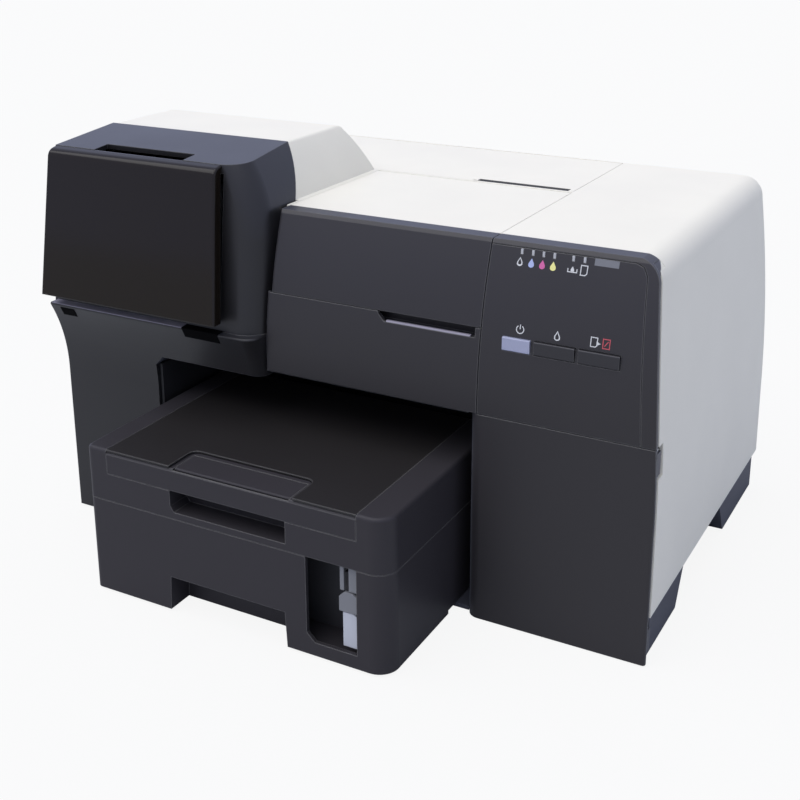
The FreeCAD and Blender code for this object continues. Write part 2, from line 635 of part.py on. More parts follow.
pocket(housing, "XZ_Plane", -40, tower_top_back, box_corners(bay_left, bay_right, door_pin_z + 4, door_head_z - 4))
pocket(housing, "XZ_Plane", 3, tower_top_back, [
    (-half + 3, foot_z + 3), (leg_x - 3, foot_z + 3), (leg_x - 3, tower_floor - 6),
    (leg_x + 6, tower_floor + 3), (tower_x - 3, tower_floor + 3), (tower_x - 3, ledge_z),
    (-half + 3, ledge_z)])
pocket(housing, "XY_Plane", door_head_z - 5, tower_z + 9, box_corners(-201, -119, door_lip - 3, 20))
ear_spans = [(-half + 6, -half + 9), (door_x - 9, door_x - 6)]
for left, right in ear_spans:
    pad(housing, "YZ_Plane", left, right,
        box_corners(door_pin_y - 3.7, housing_face + 1, door_pin_z - 4.5, door_pin_z + 4))
    cylinder_in(housing, "Subtractive", "ear_bore", "x", door_pin + shaft_play, left - 1, right + 1,
                door_pin_y, door_pin_z)

door = body("ink_door")
pad(door, "YZ_Plane", -half, door_x, [
    (door_foot_y, door_foot_z), (door_foot_y + door_deep, door_foot_z),
    (door_head_y + door_deep - 1, door_head_z - 4), (door_lip, door_head_z - 1), (door_lip, door_head_z + 2),
    (door_head_y, door_head_z)])
pocket(door, "XZ_Plane", door_foot_y - 9, door_foot_y + 60, [
    (door_x, door_foot_z), (door_x - door_in, door_head_z), (door_x - door_in, door_head_z + 9),
    (door_x + 9, door_head_z + 9), (door_x + 9, door_foot_z)])
fillet(door, 7, [point(-150, door_head_y, door_head_z)])
fillet(door, 1.6, [point(-half, -14, 245), point(door_x - door_in / 2, -14, 245)])
pocket(door, "YZ_Plane", -half + skin, door_x - door_in - skin, [
    (door_foot_y + skin + 0.5, door_foot_z + skin), (door_foot_y + 20, door_foot_z + skin),
    (door_head_y + 20, door_head_z - 1), (door_head_y + 4.5, door_head_z - 1), (door_head_y + 2.8, door_head_z - 8)])
pocket(door, "YZ_Plane", door_x - door_in - skin - 1, door_x - skin, [
    (door_foot_y + skin + 0.5, door_foot_z + skin), (door_foot_y + 20, door_foot_z + skin),
    (door_foot_y + 20, door_foot_z + 14), (door_foot_y + skin + 2.5, door_foot_z + 14)])
for left, right in ear_spans:
    pocket(door, "YZ_Plane", left - 0.4, right + 0.4,
           box_corners(door_pin_y - 6.5, door_pin_y + 9, door_foot_z - 1, door_foot_z + skin + 1))
lug_spans = [(-half + 9.4, -half + 12), (door_x - 12, door_x - 9.4)]
for left, right in lug_spans:
    pad(door, "YZ_Plane", left, right, box_corners(door_foot_y + 2.5, door_pin_y + 2.4, door_pin_z - 2.6, door_pin_z + 2.4))
for left, right in ((-half + 2, -half + 12), (door_x - 12, door_x - 2)):
    cylinder_in(door, "Additive", "door_pin", "x", door_pin, left, right, door_pin_y, door_pin_z)

tray_floor = door_pin_z + 4.2
keep(join("bay_parts",
          box("bay_floor", (-half + 4, tower_x - 4), (12, 148), (tray_floor - 4, tray_floor)),
          box("bay_foot", (-half + 4, tower_x - 4), (12, 30), (ledge_z + 5, tray_floor - 4)),
          box("bay_rear", (-half + 4, tower_x - 4), (144, 148), (tray_floor, 262)),
          *[box(f"divider_{number}", (bay_left - 1.6 + 37 * number, bay_left - 0.2 + 37 * number),
                (12, 144), (tray_floor, tray_floor + 24)) for number in range(5)]),
     "cartridge_tray")
cartridges = []
for number in range(4):
    cartridge = tool_body(f"cartridge_{number + 1}")
    left = bay_left + 0.4 + 37 * number
    pad(cartridge, "YZ_Plane", left, left + 34.4, [
        (6, tray_floor + fit), (143, tray_floor + fit), (143, 262), (132, 284), (11, 284), (6, 278)])
    pocket(cartridge, "XZ_Plane", 5, 12, box_corners(left + 6, left + 28.4, tray_floor + 14, tray_floor + 30))
    cartridges.append(cartridge)
keep(join("cartridge_set", *cartridges), "ink_cartridges")


# ---------------------------------------------------------------------------------------------
# Service cover: right of the cassette, turning on two upright pins at its right edge.
# ---------------------------------------------------------------------------------------------
cover_top = face_z - 0.6
knuckles = [(foot_z + 5, case_z - 10), (face_z - 20, face_z - 4)]
cover = body("service_cover")
pad(cover, "XY_Plane", foot_z - 0.5, cover_top, box_corners(cover_x, half - 0.4, 0, cover_deep))
fillet(cover, cover_round, [point(cover_x, 0, 80)])
fillet(cover, 2, [point(half - 0.4, 0, 80)])
pocket(cover, "XZ_Plane", -9, cover_deep + 9, [
    (half - 0.4, bend_z, bend_z), (corner_x - 0.4, corner_z), (half + 9, corner_z), (half + 9, bend_z)])
pocket(cover, "XY_Plane", 0, face_z, [
    (cover_x + skin, cover_round), (cover_x + skin + 2, skin + 2.2), (cover_x + cover_round, skin), (half, skin),
    (half, cover_deep + 1), (cover_x + skin, cover_deep + 1)])
for low, high in knuckles:
    pad(cover, "XY_Plane", low, high, box_corners(cover_pin_x - 2.4, cover_pin_x + 2.4, skin - 1, cover_pin_y + 2.4))
    cylinder_in(cover, "Subtractive", "knuckle_bore", "z", cover_pin + shaft_play, low - 1, high + 1,
                cover_pin_x, cover_pin_y)
pins = join("cover_pins",
            rod("low_pin", "z", cover_pin, foot_z + 0.5, case_z - 4, cover_pin_x, cover_pin_y),
            rod("high_pin", "z", cover_pin, face_z - 30, face_z - 2, cover_pin_x, cover_pin_y))
keep(pins, "service_cover_pins")


# ---------------------------------------------------------------------------------------------
# Cassette: tray, cover with the output slide and its paper stop, and the paper guides inside.
# ---------------------------------------------------------------------------------------------
notch = (-72, 22)
window = (39, 77)
tray = body("cassette_tray")
pad(tray, "XY_Plane", tray_skirt, seam_z - 0.3, box_corners(tray_left, tray_right, tray_front, tray_back))
fillet(tray, 5, [point(tray_left, tray_front, 40)])
fillet(tray, tray_round, [point(tray_right, tray_front, 40)])
pocket(tray, "XY_Plane", 0, tray_z, box_corners(tray_left - 1, tray_right + 1, -6, tray_back + 1))
pocket(tray, "XY_Plane", 0, tray_z,
       box_corners(tray_left + tray_wall, tray_right - 14, tray_front + 24, -5))
pocket(tray, "XY_Plane", tray_z + tray_wall, seam_z + 9, [
    (tray_left + tray_wall, tray_front + 6), (tray_left + 6, tray_front + tray_wall),
    (notch[0] - 3, tray_front + tray_wall), (notch[0] - 3, tray_front + 24), (notch[1] + 3, tray_front + 24),
    (notch[1] + 3, tray_front + tray_wall), (tray_right - 14, tray_front + tray_wall),
    (tray_right - 6, tray_front + 7), (tray_right - tray_wall, tray_front + 14),
    (tray_right - tray_wall, tray_back - tray_wall), (tray_left + tray_wall, tray_back - tray_wall)])
pocket(tray, "XY_Plane", 31, seam_z + 9,
       box_corners(notch[0] - 4, notch[1] + 4, tray_front + tray_wall, tray_front + 25))
pocket(tray, "XZ_Plane", tray_front - 1, tray_front + 20, [
    (notch[0] - 1.5, 0), (notch[1] + 1.5, 0), (notch[1], 28), (notch[0], 28)])
pocket(tray, "XZ_Plane", tray_front - 1, tray_front + 8, [
    (window[0] + 6, 12), (window[1], 12), (window[1], seam_z), (window[0], seam_z), (window[0], 18)])
pocket(tray, "XZ_Plane", tray_back - 8, tray_back + 1,
       box_corners(tray_left + 12, tray_right - 12, 58, seam_z + 1))

tray_cover = body("cassette_cover")
pad(tray_cover, "XY_Plane", seam_z, tray_top, box_corners(tray_left, tray_right, tray_front, tray_cover_back))
fillet(tray_cover, 5, [point(tray_left, tray_front, 90)])
fillet(tray_cover, tray_round, [point(tray_right, tray_front, 90)])
fillet(tray_cover, 2.5, [point(0, tray_front, tray_top), point(tray_left, 0, tray_top),
                         point(tray_right, 0, tray_top)])
grip_back = tray_front + 18
pocket(tray_cover, "XY_Plane", seam_z - 1, tray_top - slide_tall - 3, [
    (tray_left + tray_wall, tray_front + 6), (tray_left + 6, tray_front + tray_wall),
    (stop_left - 6, tray_front + tray_wall), (stop_left - 6, grip_back + 3), (stop_right, grip_back + 3),
    (stop_right, tray_front + tray_wall), (tray_right - 14, tray_front + tray_wall),
    (tray_right - 6, tray_front + 7), (tray_right - tray_wall, tray_front + 14),
    (tray_right - tray_wall, tray_cover_back + 1), (tray_left + tray_wall, tray_cover_back + 1)])
slide_z = tray_top - 2 - slide_thick
pocket(tray_cover, "XY_Plane", seam_z, slide_z - fit - 3,
       box_corners(tray_left + tray_wall, tray_right - tray_wall, grip_back + 3, tray_cover_back + 1))
pocket(tray_cover, "XY_Plane", slide_z - fit, tray_top + 1,
       box_corners(slide_left - fit, slide_right + fit, tray_front - 1, tray_cover_back + 1))
pocket(tray_cover, "XY_Plane", tray_top - slide_tall - fit, tray_top,
       box_corners(slide_left - fit, slide_right + fit, tray_front - 1, tray_front + 6))
pocket(tray_cover, "XZ_Plane", tray_front - 1, grip_back, [
    (stop_left, 79), (stop_right - 3, 79), (stop_right - 3, tray_top - slide_tall), (stop_left - 3, tray_top - slide_tall),
    (stop_left - 3, 83)])

slide = body("output_slide")
pad(slide, "YZ_Plane", slide_left, slide_right, [
    (tray_front, tray_top - slide_tall), (tray_front + 5.5, tray_top - slide_tall), (tray_front + 5.5, slide_z),
    (tray_cover_back - 3, slide_z), (tray_cover_back - 3, slide_z + slide_thick), (tray_front + 1.5, slide_z + slide_thick),
    (tray_front, slide_z + slide_thick - 1.5)])
stop_y = tray_front + 3
stop_pin_z = slide_z + slide_thick - 1.6
pocket(slide, "XY_Plane", slide_z + 1, tray_top + 1,
       box_corners(stop_left, stop_right, tray_front + 0.8, stop_y + stop_long + 0.4))
for left, right in ((stop_left - 2.4, stop_left + 0.2), (stop_right - 0.2, stop_right + 2.4)):
    cylinder_in(slide, "Subtractive", "stop_socket", "x", pin_bore, left, right, stop_y + 1.6, stop_pin_z)

stop = body("paper_stop")
pad(stop, "YZ_Plane", stop_left + 0.4, stop_right - 0.4,
    box_corners(stop_y, stop_y + stop_long, stop_pin_z - 1.5, stop_pin_z + 1.5))
fillet(stop, 1.4, [point(0, stop_y, stop_pin_z + 1.5), point(0, stop_y, stop_pin_z - 1.5)])
for left, right in ((stop_left - 2, stop_left + 0.6), (stop_right - 0.6, stop_right + 2)):
    cylinder_in(stop, "Additive", "stop_pin", "x", pin_small, left, right, stop_y + 1.6, stop_pin_z)

floor_z = tray_z + tray_wall + fit
tray_mid = (tray_left + tray_right) / 2
pitch = gear_module * math.pi
guide_pitch_r = gear_module * guide_teeth / 2
rack_y = size(70)


def gear_outline(centre_u, centre_v, teeth, first_angle):
    """The corners of a spur gear's outline: four to a tooth, with narrow teeth for backlash."""
    count = int(teeth.value)
    corners = []
    for number in range(count):
        middle = first_angle + 2 * math.pi * number / count
        quarter = 2 * math.pi / count
        for share, reach in ((-0.34, -1.25), (-0.13, 0.9), (0.13, 0.9), (0.34, -1.25)):
            radius = gear_module * (teeth / 2 + reach)
            angle = middle + share * quarter
            corners.append((centre_u + radius * math.cos(angle), centre_v + radius * math.sin(angle)))
    return corners


def rack_outline(start, count, level, direction):
    """The corners of a rack: teeth along +u that point to +v or, with direction -1, to -v."""
    corners = [(start, level - direction * gear_module * 3.2), (start, level - direction * gear_module * 1.25)]
    for number in range(count):
        middle = start + pitch * (number + 0.5)
        for share, reach in ((-0.32, -1.25), (-0.13, 0.9), (0.13, 0.9), (0.32, -1.25)):
            corners.append((middle + pitch * share, level + direction * gear_module * reach))
    end = start + pitch * count
    corners += [(end, level - direction * gear_module * 1.25), (end, level - direction * gear_module * 3.2)]
    return corners


pinion = body("guide_pinion")
pad(pinion, "XY_Plane", floor_z, floor_z + 3, gear_outline(tray_mid, rack_y, guide_teeth, 0))
cylinder_in(pinion, "Subtractive", "pinion_bore", "z", size(2.5) + shaft_play, floor_z - 3, floor_z + 6,
            tray_mid, rack_y)
cylinder_in(tray, "Additive", "pinion_stud", "z", 2.5, tray_z + 1, floor_z + 3.4, tray_mid, rack_y)

guide_left_x = tray_mid - paper_wide / 2
guide_right_x = tray_mid + paper_wide / 2
teeth_count = 15
for name, side in (("side_guide_left", -1), ("side_guide_right", 1)):
    guide = body(name)
    level = rack_y + guide_pitch_r * side
    start = tray_mid - pitch * (teeth_count - 2) if side < 0 else tray_mid - pitch * 2
    pad(guide, "XY_Plane", floor_z, floor_z + 3, rack_outline(start, teeth_count, level, -side))
    wall_x = (guide_left_x - 1.6, guide_left_x) if side < 0 else (guide_right_x, guide_right_x + 1.6)
    foot_x = (guide_left_x - 1.6, tray_mid - pitch * (teeth_count - 2) + 0.5) if side < 0 else (
        tray_mid + pitch * (teeth_count - 2) - 0.5, guide_right_x + 1.6)
    rack_back = level + gear_module * 3.2 * side
    pad(guide, "XY_Plane", floor_z, floor_z + 3, [
        (foot_x[0], level + gear_module * 1.25 * side), (foot_x[1], level + gear_module * 1.25 * side),
        (foot_x[1], rack_back), (foot_x[0], rack_back)])
    pad(guide, "YZ_Plane", wall_x[0], wall_x[1], [
        (18, floor_z), (150, floor_z), (150, floor_z + 24), (130, floor_z + 44), (34, floor_z + 44), (18, floor_z + 30)])

end_guide = body("end_guide")
end_left = tray_mid - 44
flag_x = window[1] - 10.5
pad(end_guide, "XY_Plane", floor_z, floor_z + 3, box_corners(tray_mid - 20, tray_mid + 20, -64, -38))
pad(end_guide, "XZ_Plane", -64, -61, [
    (end_left, floor_z), (flag_x, floor_z), (flag_x, 66), (end_left + 6, 66), (end_left, 60)])
pad(end_guide, "YZ_Plane", flag_x - 2.6, flag_x, box_corners(-84, -61, floor_z + 8, 66))

lift = body("lift_plate")
lift_y = size(92)
lift_z = floor_z + 4
pad(lift, "XY_Plane", floor_z + 3, floor_z + 4.6, [
    (tray_mid - 66, lift_y), (tray_mid + 66, lift_y), (tray_mid + 66, tray_back - 8), (tray_mid + 30, tray_back - 5),
    (tray_mid - 30, tray_back - 5), (tray_mid - 66, tray_back - 8)])
cylinder_in(lift, "Additive", "lift_pivot", "x", 2, tray_mid - 70, tray_mid + 70, lift_y, lift_z)
keep(join("lift_ears", *[
    cut(f"lift_ear_{number}",
        box(f"ear_block_{number}", (left, left + 3.2), (lift_y - 4, lift_y + 4), (tray_z + tray_wall, lift_z + 4)),
        rod(f"ear_bore_{number}", "x", size(2) + shaft_play, left - 1, left + 5, lift_y, lift_z))
    for number, left in enumerate((tray_mid - 69.6, tray_mid + 66.4), 1)]), "lift_brackets")
keep(box("retard_pad_block", (tray_mid - 16, tray_mid + 16), (tray_back - 5 + 0.4, tray_back - tray_wall), (30, 57)),
     "retard_pad")


# ---------------------------------------------------------------------------------------------
# Chassis: two steel side plates, a rear frame, the guide rail, platen and the paper rollers.
# ---------------------------------------------------------------------------------------------
left_in = plate_left + plate
shafts = [(rail_y, rail_z, rail_r), (feed_y, feed_z, shaft_r + shaft_play), (exit_y, feed_z - 2, shaft_r + shaft_play),
          (pick_y, pick_z, shaft_r + shaft_play), (turn_y, turn_z, shaft_r + shaft_play)]


def side_plate(name, low, back):
    """A steel side plate with a bore for each shaft."""
    blank = tool_body(name + "_blank")
    pad(blank, "YZ_Plane", low, low + plate, [
        (126, case_z), (back, case_z), (back, 160), (222, 168), (222, 244), (153, 244), (153, 180), (126, 176)])
    bores = [rod(f"{name}_bore_{number}", "x", radius, low - 1, low + plate + 1, y, z)
             for number, (y, z, radius) in enumerate(shafts, 1)]
    return cut(name + "_cut", blank, *bores)


keep(side_plate("left_plate", plate_left, size(256)), "left_plate")
right_out = plate_right + plate
board_x = right_out + 4.4
standoffs = [box(f"standoff_{number}", (right_out - 0.2, board_x), (y, y + 5), (z, z + 5))
             for number, (y, z) in enumerate(((160, 46), (250, 46), (160, 134), (250, 134)), 1)]
keep(join("right_plate_parts", side_plate("right_plate", plate_right, size(262)), *standoffs), "right_plate")
keep(rod("rail", "x", rail_r, plate_left, plate_right + plate, rail_y, rail_z), "guide_rail")
keep(join("platen_parts",
          box("platen_plate", (left_in, 128), (exit_y + 9, feed_y - 9), (146, 149)),
          *[box(f"platen_rib_{number}", (-128 + 24 * number, -126 + 24 * number), (exit_y + 9, feed_y - 9), (149, 152.4))
            for number in range(10)]), "platen")


def roller(label, y, z, radius, spans, low, high):
    """A shaft along x with rubber sleeves on it."""
    sleeves = [rod(f"{label}_sleeve_{number}", "x", radius, left, right, y, z)
               for number, (left, right) in enumerate(spans, 1)]
    keep(join(label + "_parts", rod(label + "_shaft", "x", shaft_r, low, high, y, z), *sleeves), label)


gear_x = plate_left - 8
roller("feed_roller", feed_y, feed_z, feed_r, [(-132, 92)], gear_x - 1, plate_right + 4)
roller("exit_roller", exit_y, feed_z - 2, exit_r, [(-116 + 88 * n, -92 + 88 * n) for n in range(3)], plate_left - 3, plate_right + 4)
roller("pickup_roller", pick_y, pick_z, pick_r, [(-38, -4)], plate_left - 3, plate_right + 4)
roller("turn_roller", turn_y, turn_z, turn_r, [(-110, -84), (44, 70)], plate_left - 3, plate_right + 4)

feed_pitch_r = gear_module * feed_teeth / 2
motor_pitch_r = gear_module * motor_teeth / 2
motor_y = feed_y + feed_pitch_r + motor_pitch_r + 0.25
feed_gear = body("feed_gear")
pad(feed_gear, "YZ_Plane", gear_x, plate_left - 1, gear_outline(feed_y, feed_z, feed_teeth, 0))
cylinder_in(feed_gear, "Subtractive", "gear_bore", "x", shaft_r, gear_x - 5, plate_left, feed_y, feed_z)
motor_gear = body("motor_pinion")
pad(motor_gear, "YZ_Plane", gear_x, plate_left - 1,
    gear_outline(motor_y, feed_z, motor_teeth, math.pi / motor_teeth.value * ((motor_teeth.value + 1) % 2)))
cylinder_in(motor_gear, "Subtractive", "motor_pinion_bore", "x", size(2) + shaft_play, gear_x - 5, plate_left,
            motor_y, feed_z)
keep(join("feed_motor_parts",
          rod("feed_motor_can", "x", 17, gear_x - 46, gear_x - 3, motor_y, feed_z),
          rod("feed_motor_shaft", "x", 2, gear_x - 3, plate_left - 0.6, motor_y, feed_z),
          box("feed_motor_foot", (gear_x - 8, gear_x - 3), (motor_y - 14, motor_y + 14), (case_z, feed_z - 12))),
     "feed_motor")


# ---------------------------------------------------------------------------------------------
# Carriage with its print head, belt and pulleys.
# ---------------------------------------------------------------------------------------------
belt_z = rail_z + 26
pulley_r = size(7)
belt_y = (feed_y - 11, feed_y - 5)
carriage_right = carriage_home + carriage_wide
keep(cut("carriage_cut",
         join("carriage_parts",
              box("carriage_block", (carriage_home, carriage_right), (rail_y - 20, belt_y[0] - 1), (rail_z - 18, rail_z + 42)),
              box("belt_jaw", (carriage_home + 24, carriage_home + 44), (belt_y[0] - 1, belt_y[1] - 0.6),
                  (belt_z - pulley_r - 6, belt_z - pulley_r - 1.4 - fit))),
         box("carriage_well", (carriage_home + 3, carriage_right - 3), (rail_y - 17, rail_y - 7), (rail_z - 12, rail_z + 43)),
         rod("carriage_bore", "x", rail_r + shaft_play, carriage_home - 1, carriage_right + 1, rail_y, rail_z)),
     "carriage")
keep(join("head_parts",
          box("head_block", (carriage_home + 6, carriage_right - 6), (rail_y - 16, rail_y + 12), (rail_z - 24, rail_z - 18)),
          box("head_nozzles", (carriage_home + 12, carriage_right - 12), (rail_y - 12, rail_y + 8), (rail_z - 35.5, rail_z - 24))),
     "print_head")
pulley_left = left_in + 12
pulley_right = plate_right - 12
for label, x in (("idler_pulley", pulley_left), ("drive_pulley", pulley_right)):
    rim = rod(label + "_rim", "y", pulley_r, belt_y[0], belt_y[1], x, belt_z)
    keep(cut(label + "_cut", rim, rod(label + "_bore", "y", size(2.5) + shaft_play, belt_y[0] - 1, belt_y[1] + 1, x, belt_z)), label)
belt_outer = join(
    "belt_outer",
    rod("belt_end_left", "y", pulley_r + 1.4, belt_y[0] + 0.3, belt_y[1] - 0.3, pulley_left, belt_z),
    rod("belt_end_right", "y", pulley_r + 1.4, belt_y[0] + 0.3, belt_y[1] - 0.3, pulley_right, belt_z),
    box("belt_run", (pulley_left, pulley_right), (belt_y[0] + 0.3, belt_y[1] - 0.3), (belt_z - pulley_r - 1.4, belt_z + pulley_r + 1.4)))
belt_inner = join(
    "belt_inner",
    rod("belt_hole_left", "y", pulley_r + 0.2, belt_y[0] - 1, belt_y[1] + 1, pulley_left, belt_z),
    rod("belt_hole_right", "y", pulley_r + 0.2, belt_y[0] - 1, belt_y[1] + 1, pulley_right, belt_z),
    box("belt_gap", (pulley_left, pulley_right), (belt_y[0] - 1, belt_y[1] + 1), (belt_z - pulley_r - 0.2, belt_z + pulley_r + 0.2)))
keep(cut("belt_cut", belt_outer, belt_inner), "carriage_belt")
frame_y = feed_y - 4
keep(join("rear_frame_parts",
          box("rear_frame_plate", (left_in, plate_right), (frame_y, frame_y + plate), (172, 240)),
          rod("idler_stud", "y", 2.5, belt_y[0], frame_y + 0.5, pulley_left, belt_z),
          rod("motor_spindle", "y", 2.5, belt_y[0], frame_y + 0.5, pulley_right, belt_z)), "rear_frame")
keep(rod("carriage_motor_can", "y", 11.5, frame_y + plate, frame_y + 36, pulley_right, belt_z), "carriage_motor")
keep(box("encoder", (left_in, plate_right), (rail_y - 14.2, rail_y - 13.8), (rail_z + 46, rail_z + 54)), "encoder_strip")


# ---------------------------------------------------------------------------------------------
# Electrics, waste ink box, cap unit and the rear units.
# ---------------------------------------------------------------------------------------------
keep(box("supply_can", (-228, -168), (180, 250), (case_z, 116)), "power_supply")
keep(join("inlet_parts",
          box("inlet_flange", (-222 + 0.4, -188 - 0.4), (depth - 6, depth - 3), (48.4, 75.6)),
          box("inlet_body", (-217, -193), (250, depth - 6), (52, 72))), "power_inlet")
keep(box("board", (board_x, board_x + 1.6), (150, 272), (40, 140)), "main_board")
keep(join("ports", box("port_shell", (202, 224), (263, depth - 4), (58, 78)),
          box("port_root", (224, board_x), (263, 272), (58, 78))), "port_block")
keep(join("waste_parts", box("waste_box", (cover_x + 14, cover_x + 98), (22, 124), (case_z, 96)),
          box("waste_grip", (cover_x + 42, cover_x + 70), (16, 22), (52, 76))), "waste_ink_box")
keep(join("cap_parts", box("cap_deck", (128.3, plate_right - 0.3), (153, 203), (120, 128)),
          box("cap_wall", (128.3, 130.3), (153, 203), (128, 149)),
          box("cap_stem", (146, 206), (160, 196), (128, 140)),
          box("cap_cup", (carriage_home + 13, carriage_right - 13), (rail_y - 11, rail_y + 7), (140, rail_z - 36))), "cap_unit")
rear_unit = body("rear_unit")
pad(rear_unit, "YZ_Plane", -135.5, 103.5, [
    (268, 58.5), (depth - 3, 58.5), (depth - 10, 185.5), (268, 185.5)])
pocket(rear_unit, "XZ_Plane", depth - 12, depth, box_corners(-60, 28, 150, 172))
hopper = body("rear_hopper")
hopper_foot = (size(222), size(176))
hopper_head = (size(262), size(258))
hopper_lean = (hopper_head[0] - hopper_foot[0]) / (hopper_head[1] - hopper_foot[1])
shelf_z = top_z - 3.2 - wall - 0.2
pad(hopper, "YZ_Plane", -132, 100, [
    hopper_foot, (hopper_foot[0] + 3, hopper_foot[1]), (hopper_head[0] + 3, hopper_head[1]),
    (276, hopper_head[1]), (276, shelf_z), (hopper_head[0], shelf_z), hopper_head])
edge_guide = body("rear_edge_guide")
guide_low = hopper_foot[0] + hopper_lean * 40 - 0.3
guide_high = hopper_foot[0] + hopper_lean * 80 - 0.3
pad(edge_guide, "YZ_Plane", 70, 72.5, [
    (guide_low, hopper_foot[1] + 40), (guide_high, hopper_foot[1] + 80), (guide_high - 12, hopper_foot[1] + 80),
    (guide_low - 9, hopper_foot[1] + 46)])


# ---------------------------------------------------------------------------------------------
# Output bay liner: the dark walls, ceiling and rear wall around the printed sheets.
# ---------------------------------------------------------------------------------------------
liner_left = leg_x + 0.4
liner_right = tray_right + 10.5
liner_back = size(125.5)
keep(join("liner_parts",
          box("liner_front_left", (liner_left, liner_left + 2), (skin, tower_back + 1), (case_z, tower_floor - 8.5)),
          box("liner_left", (liner_left, liner_left + 2), (tower_back + 1, liner_back), (case_z, tower_floor)),
          box("liner_right", (liner_right, liner_right + 2), (cover_deep + 1.5, liner_back), (case_z, tower_floor)),
          box("liner_ceiling", (liner_left, liner_right + 2), (tower_back + 1, liner_back), (tower_floor - 2, tower_floor)),
          box("liner_back", (liner_left, liner_right + 2), (liner_back - 2, liner_back), (seam_z + 3, 138))),
     "bay_liner")


# ---------------------------------------------------------------------------------------------
# Check and export
# ---------------------------------------------------------------------------------------------
doc.recompute()
for feature in doc.Objects:
    if any(word in feature.State for word in ("Invalid", "Error")):
        raise RuntimeError(f"{feature.Name} failed: {feature.State}")
os.makedirs("parts", exist_ok=True)
for feature in nodes:
    if feature.Shape.isNull() or not feature.Shape.isValid():
        raise RuntimeError(f"{feature.Label} has no valid shape")
    feature.Shape.exportStep(f"parts/{feature.Label}.step")
print(len(nodes), "sub-parts written")
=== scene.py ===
import math

import bmesh
import bpy
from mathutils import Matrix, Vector


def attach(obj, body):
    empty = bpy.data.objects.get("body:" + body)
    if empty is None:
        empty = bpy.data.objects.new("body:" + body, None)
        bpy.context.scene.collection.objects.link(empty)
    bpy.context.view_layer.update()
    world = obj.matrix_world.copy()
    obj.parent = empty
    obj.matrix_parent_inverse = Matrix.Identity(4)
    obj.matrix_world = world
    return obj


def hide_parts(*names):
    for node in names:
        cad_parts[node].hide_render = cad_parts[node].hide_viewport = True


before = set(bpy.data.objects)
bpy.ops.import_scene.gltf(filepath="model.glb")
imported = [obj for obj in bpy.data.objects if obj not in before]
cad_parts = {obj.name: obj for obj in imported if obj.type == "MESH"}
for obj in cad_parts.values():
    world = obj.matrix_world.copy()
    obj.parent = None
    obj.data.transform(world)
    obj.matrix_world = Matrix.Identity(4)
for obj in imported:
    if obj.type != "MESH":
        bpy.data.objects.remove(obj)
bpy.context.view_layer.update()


# ---- Studio ---------------------------------------------------------------------------------
# A pale table top, soft daylight that is cooler and weaker on the right, and one broad lamp
# overhead. Nothing here belongs to the printer. The camera stands to the right and above.
def srgb(red, green, blue):
    """A colour as it is seen on a screen, 0 to 255, as the linear colour that Blender works in."""
    levels = [v / 255 for v in (red, green, blue)]
    return [v / 12.92 if v < 0.04045 else ((v + 0.055) / 1.055) ** 2.4 for v in levels] + [1.0]


def placed(name, data):
    """An object in the scene that shows a mesh, a curve, a lamp or a camera."""
    thing = bpy.data.objects.new(name, data)
    bpy.context.scene.collection.objects.link(thing)
    return thing


def node(tree, kind, inputs, **settings):
    """A shader node. Each of its inputs is a value, or the output of another node that feeds it."""
    made = tree.nodes.new("ShaderNode" + kind)
    for setting, value in settings.items():
        setattr(made, setting, value)
    for socket, value in inputs.items():
        if isinstance(value, bpy.types.NodeSocket):
            tree.links.new(value, made.inputs[socket])
        else:
            made.inputs[socket].default_value = value
    return made


def new_finish(name):
    """A new material, with its node tree and its main shader."""
    finish = bpy.data.materials.new(name)
    finish.use_nodes = True
    return finish, finish.node_tree, finish.node_tree.nodes["Principled BSDF"]


eye = bpy.data.cameras.new("eye")
eye.lens = 56.45
eye.sensor_width = 36
eye.shift_y = -0.16
eye.clip_start = 0.05
eye.clip_end = 60
camera = placed("eye", eye)
camera.location = (0.4344, -0.7955, 0.4851)
look_down, roll, look_left = 17.09, 0.15, 28.40
camera.rotation_euler = (math.radians(90 - look_down), math.radians(roll), math.radians(look_left))
bpy.context.scene.camera = camera
bpy.context.scene.view_settings.view_transform = "Standard"

left_light, right_light = (0.62, 0.63, 0.66, 1), (0.285, 0.32, 0.40, 1)
white, cool_white = (1, 1, 1, 1), (0.66, 0.72, 1.0, 1)
daylight = bpy.data.worlds.new("daylight")
daylight.use_nodes = True
bpy.context.scene.world = daylight
sky = daylight.node_tree
sky.nodes.clear()
across = node(sky, "TexCoord", {})
sides = node(sky, "SeparateXYZ", {0: across.outputs["Generated"]})
from_left = node(sky, "MapRange", {"Value": sides.outputs["X"], "From Min": -1})
lights = {"Factor": from_left.outputs["Result"], "A": left_light, "B": right_light}
fall_off = node(sky, "Mix", lights, data_type="RGBA")
soft = node(sky, "Background", {"Color": fall_off.outputs["Result"]})
path = node(sky, "LightPath", {})
tints = {"Factor": path.outputs["Is Glossy Ray"], "A": white, "B": cool_white}
backdrop = node(sky, "Mix", tints, data_type="RGBA")
seen = node(sky, "Background", {"Color": backdrop.outputs["Result"]})
straight = {0: path.outputs["Is Camera Ray"], 1: path.outputs["Is Transmission Ray"]}
either = node(sky, "Math", straight, operation="MAXIMUM")
any_of = node(sky, "Math", {0: either.outputs[0], 1: path.outputs["Is Glossy Ray"]}, operation="MAXIMUM")
blend = node(sky, "MixShader", {0: any_of.outputs[0], 1: soft.outputs[0], 2: seen.outputs[0]})
node(sky, "OutputWorld", {"Surface": blend.outputs[0]})

lamp = bpy.data.lights.new("overhead", "SUN")
lamp.energy = 1.75
lamp.angle = 1.1
lamp.color = (1.0, 0.98, 0.95)
overhead = placed("overhead", lamp)
overhead.rotation_euler = (math.radians(20), math.radians(-14), 0)

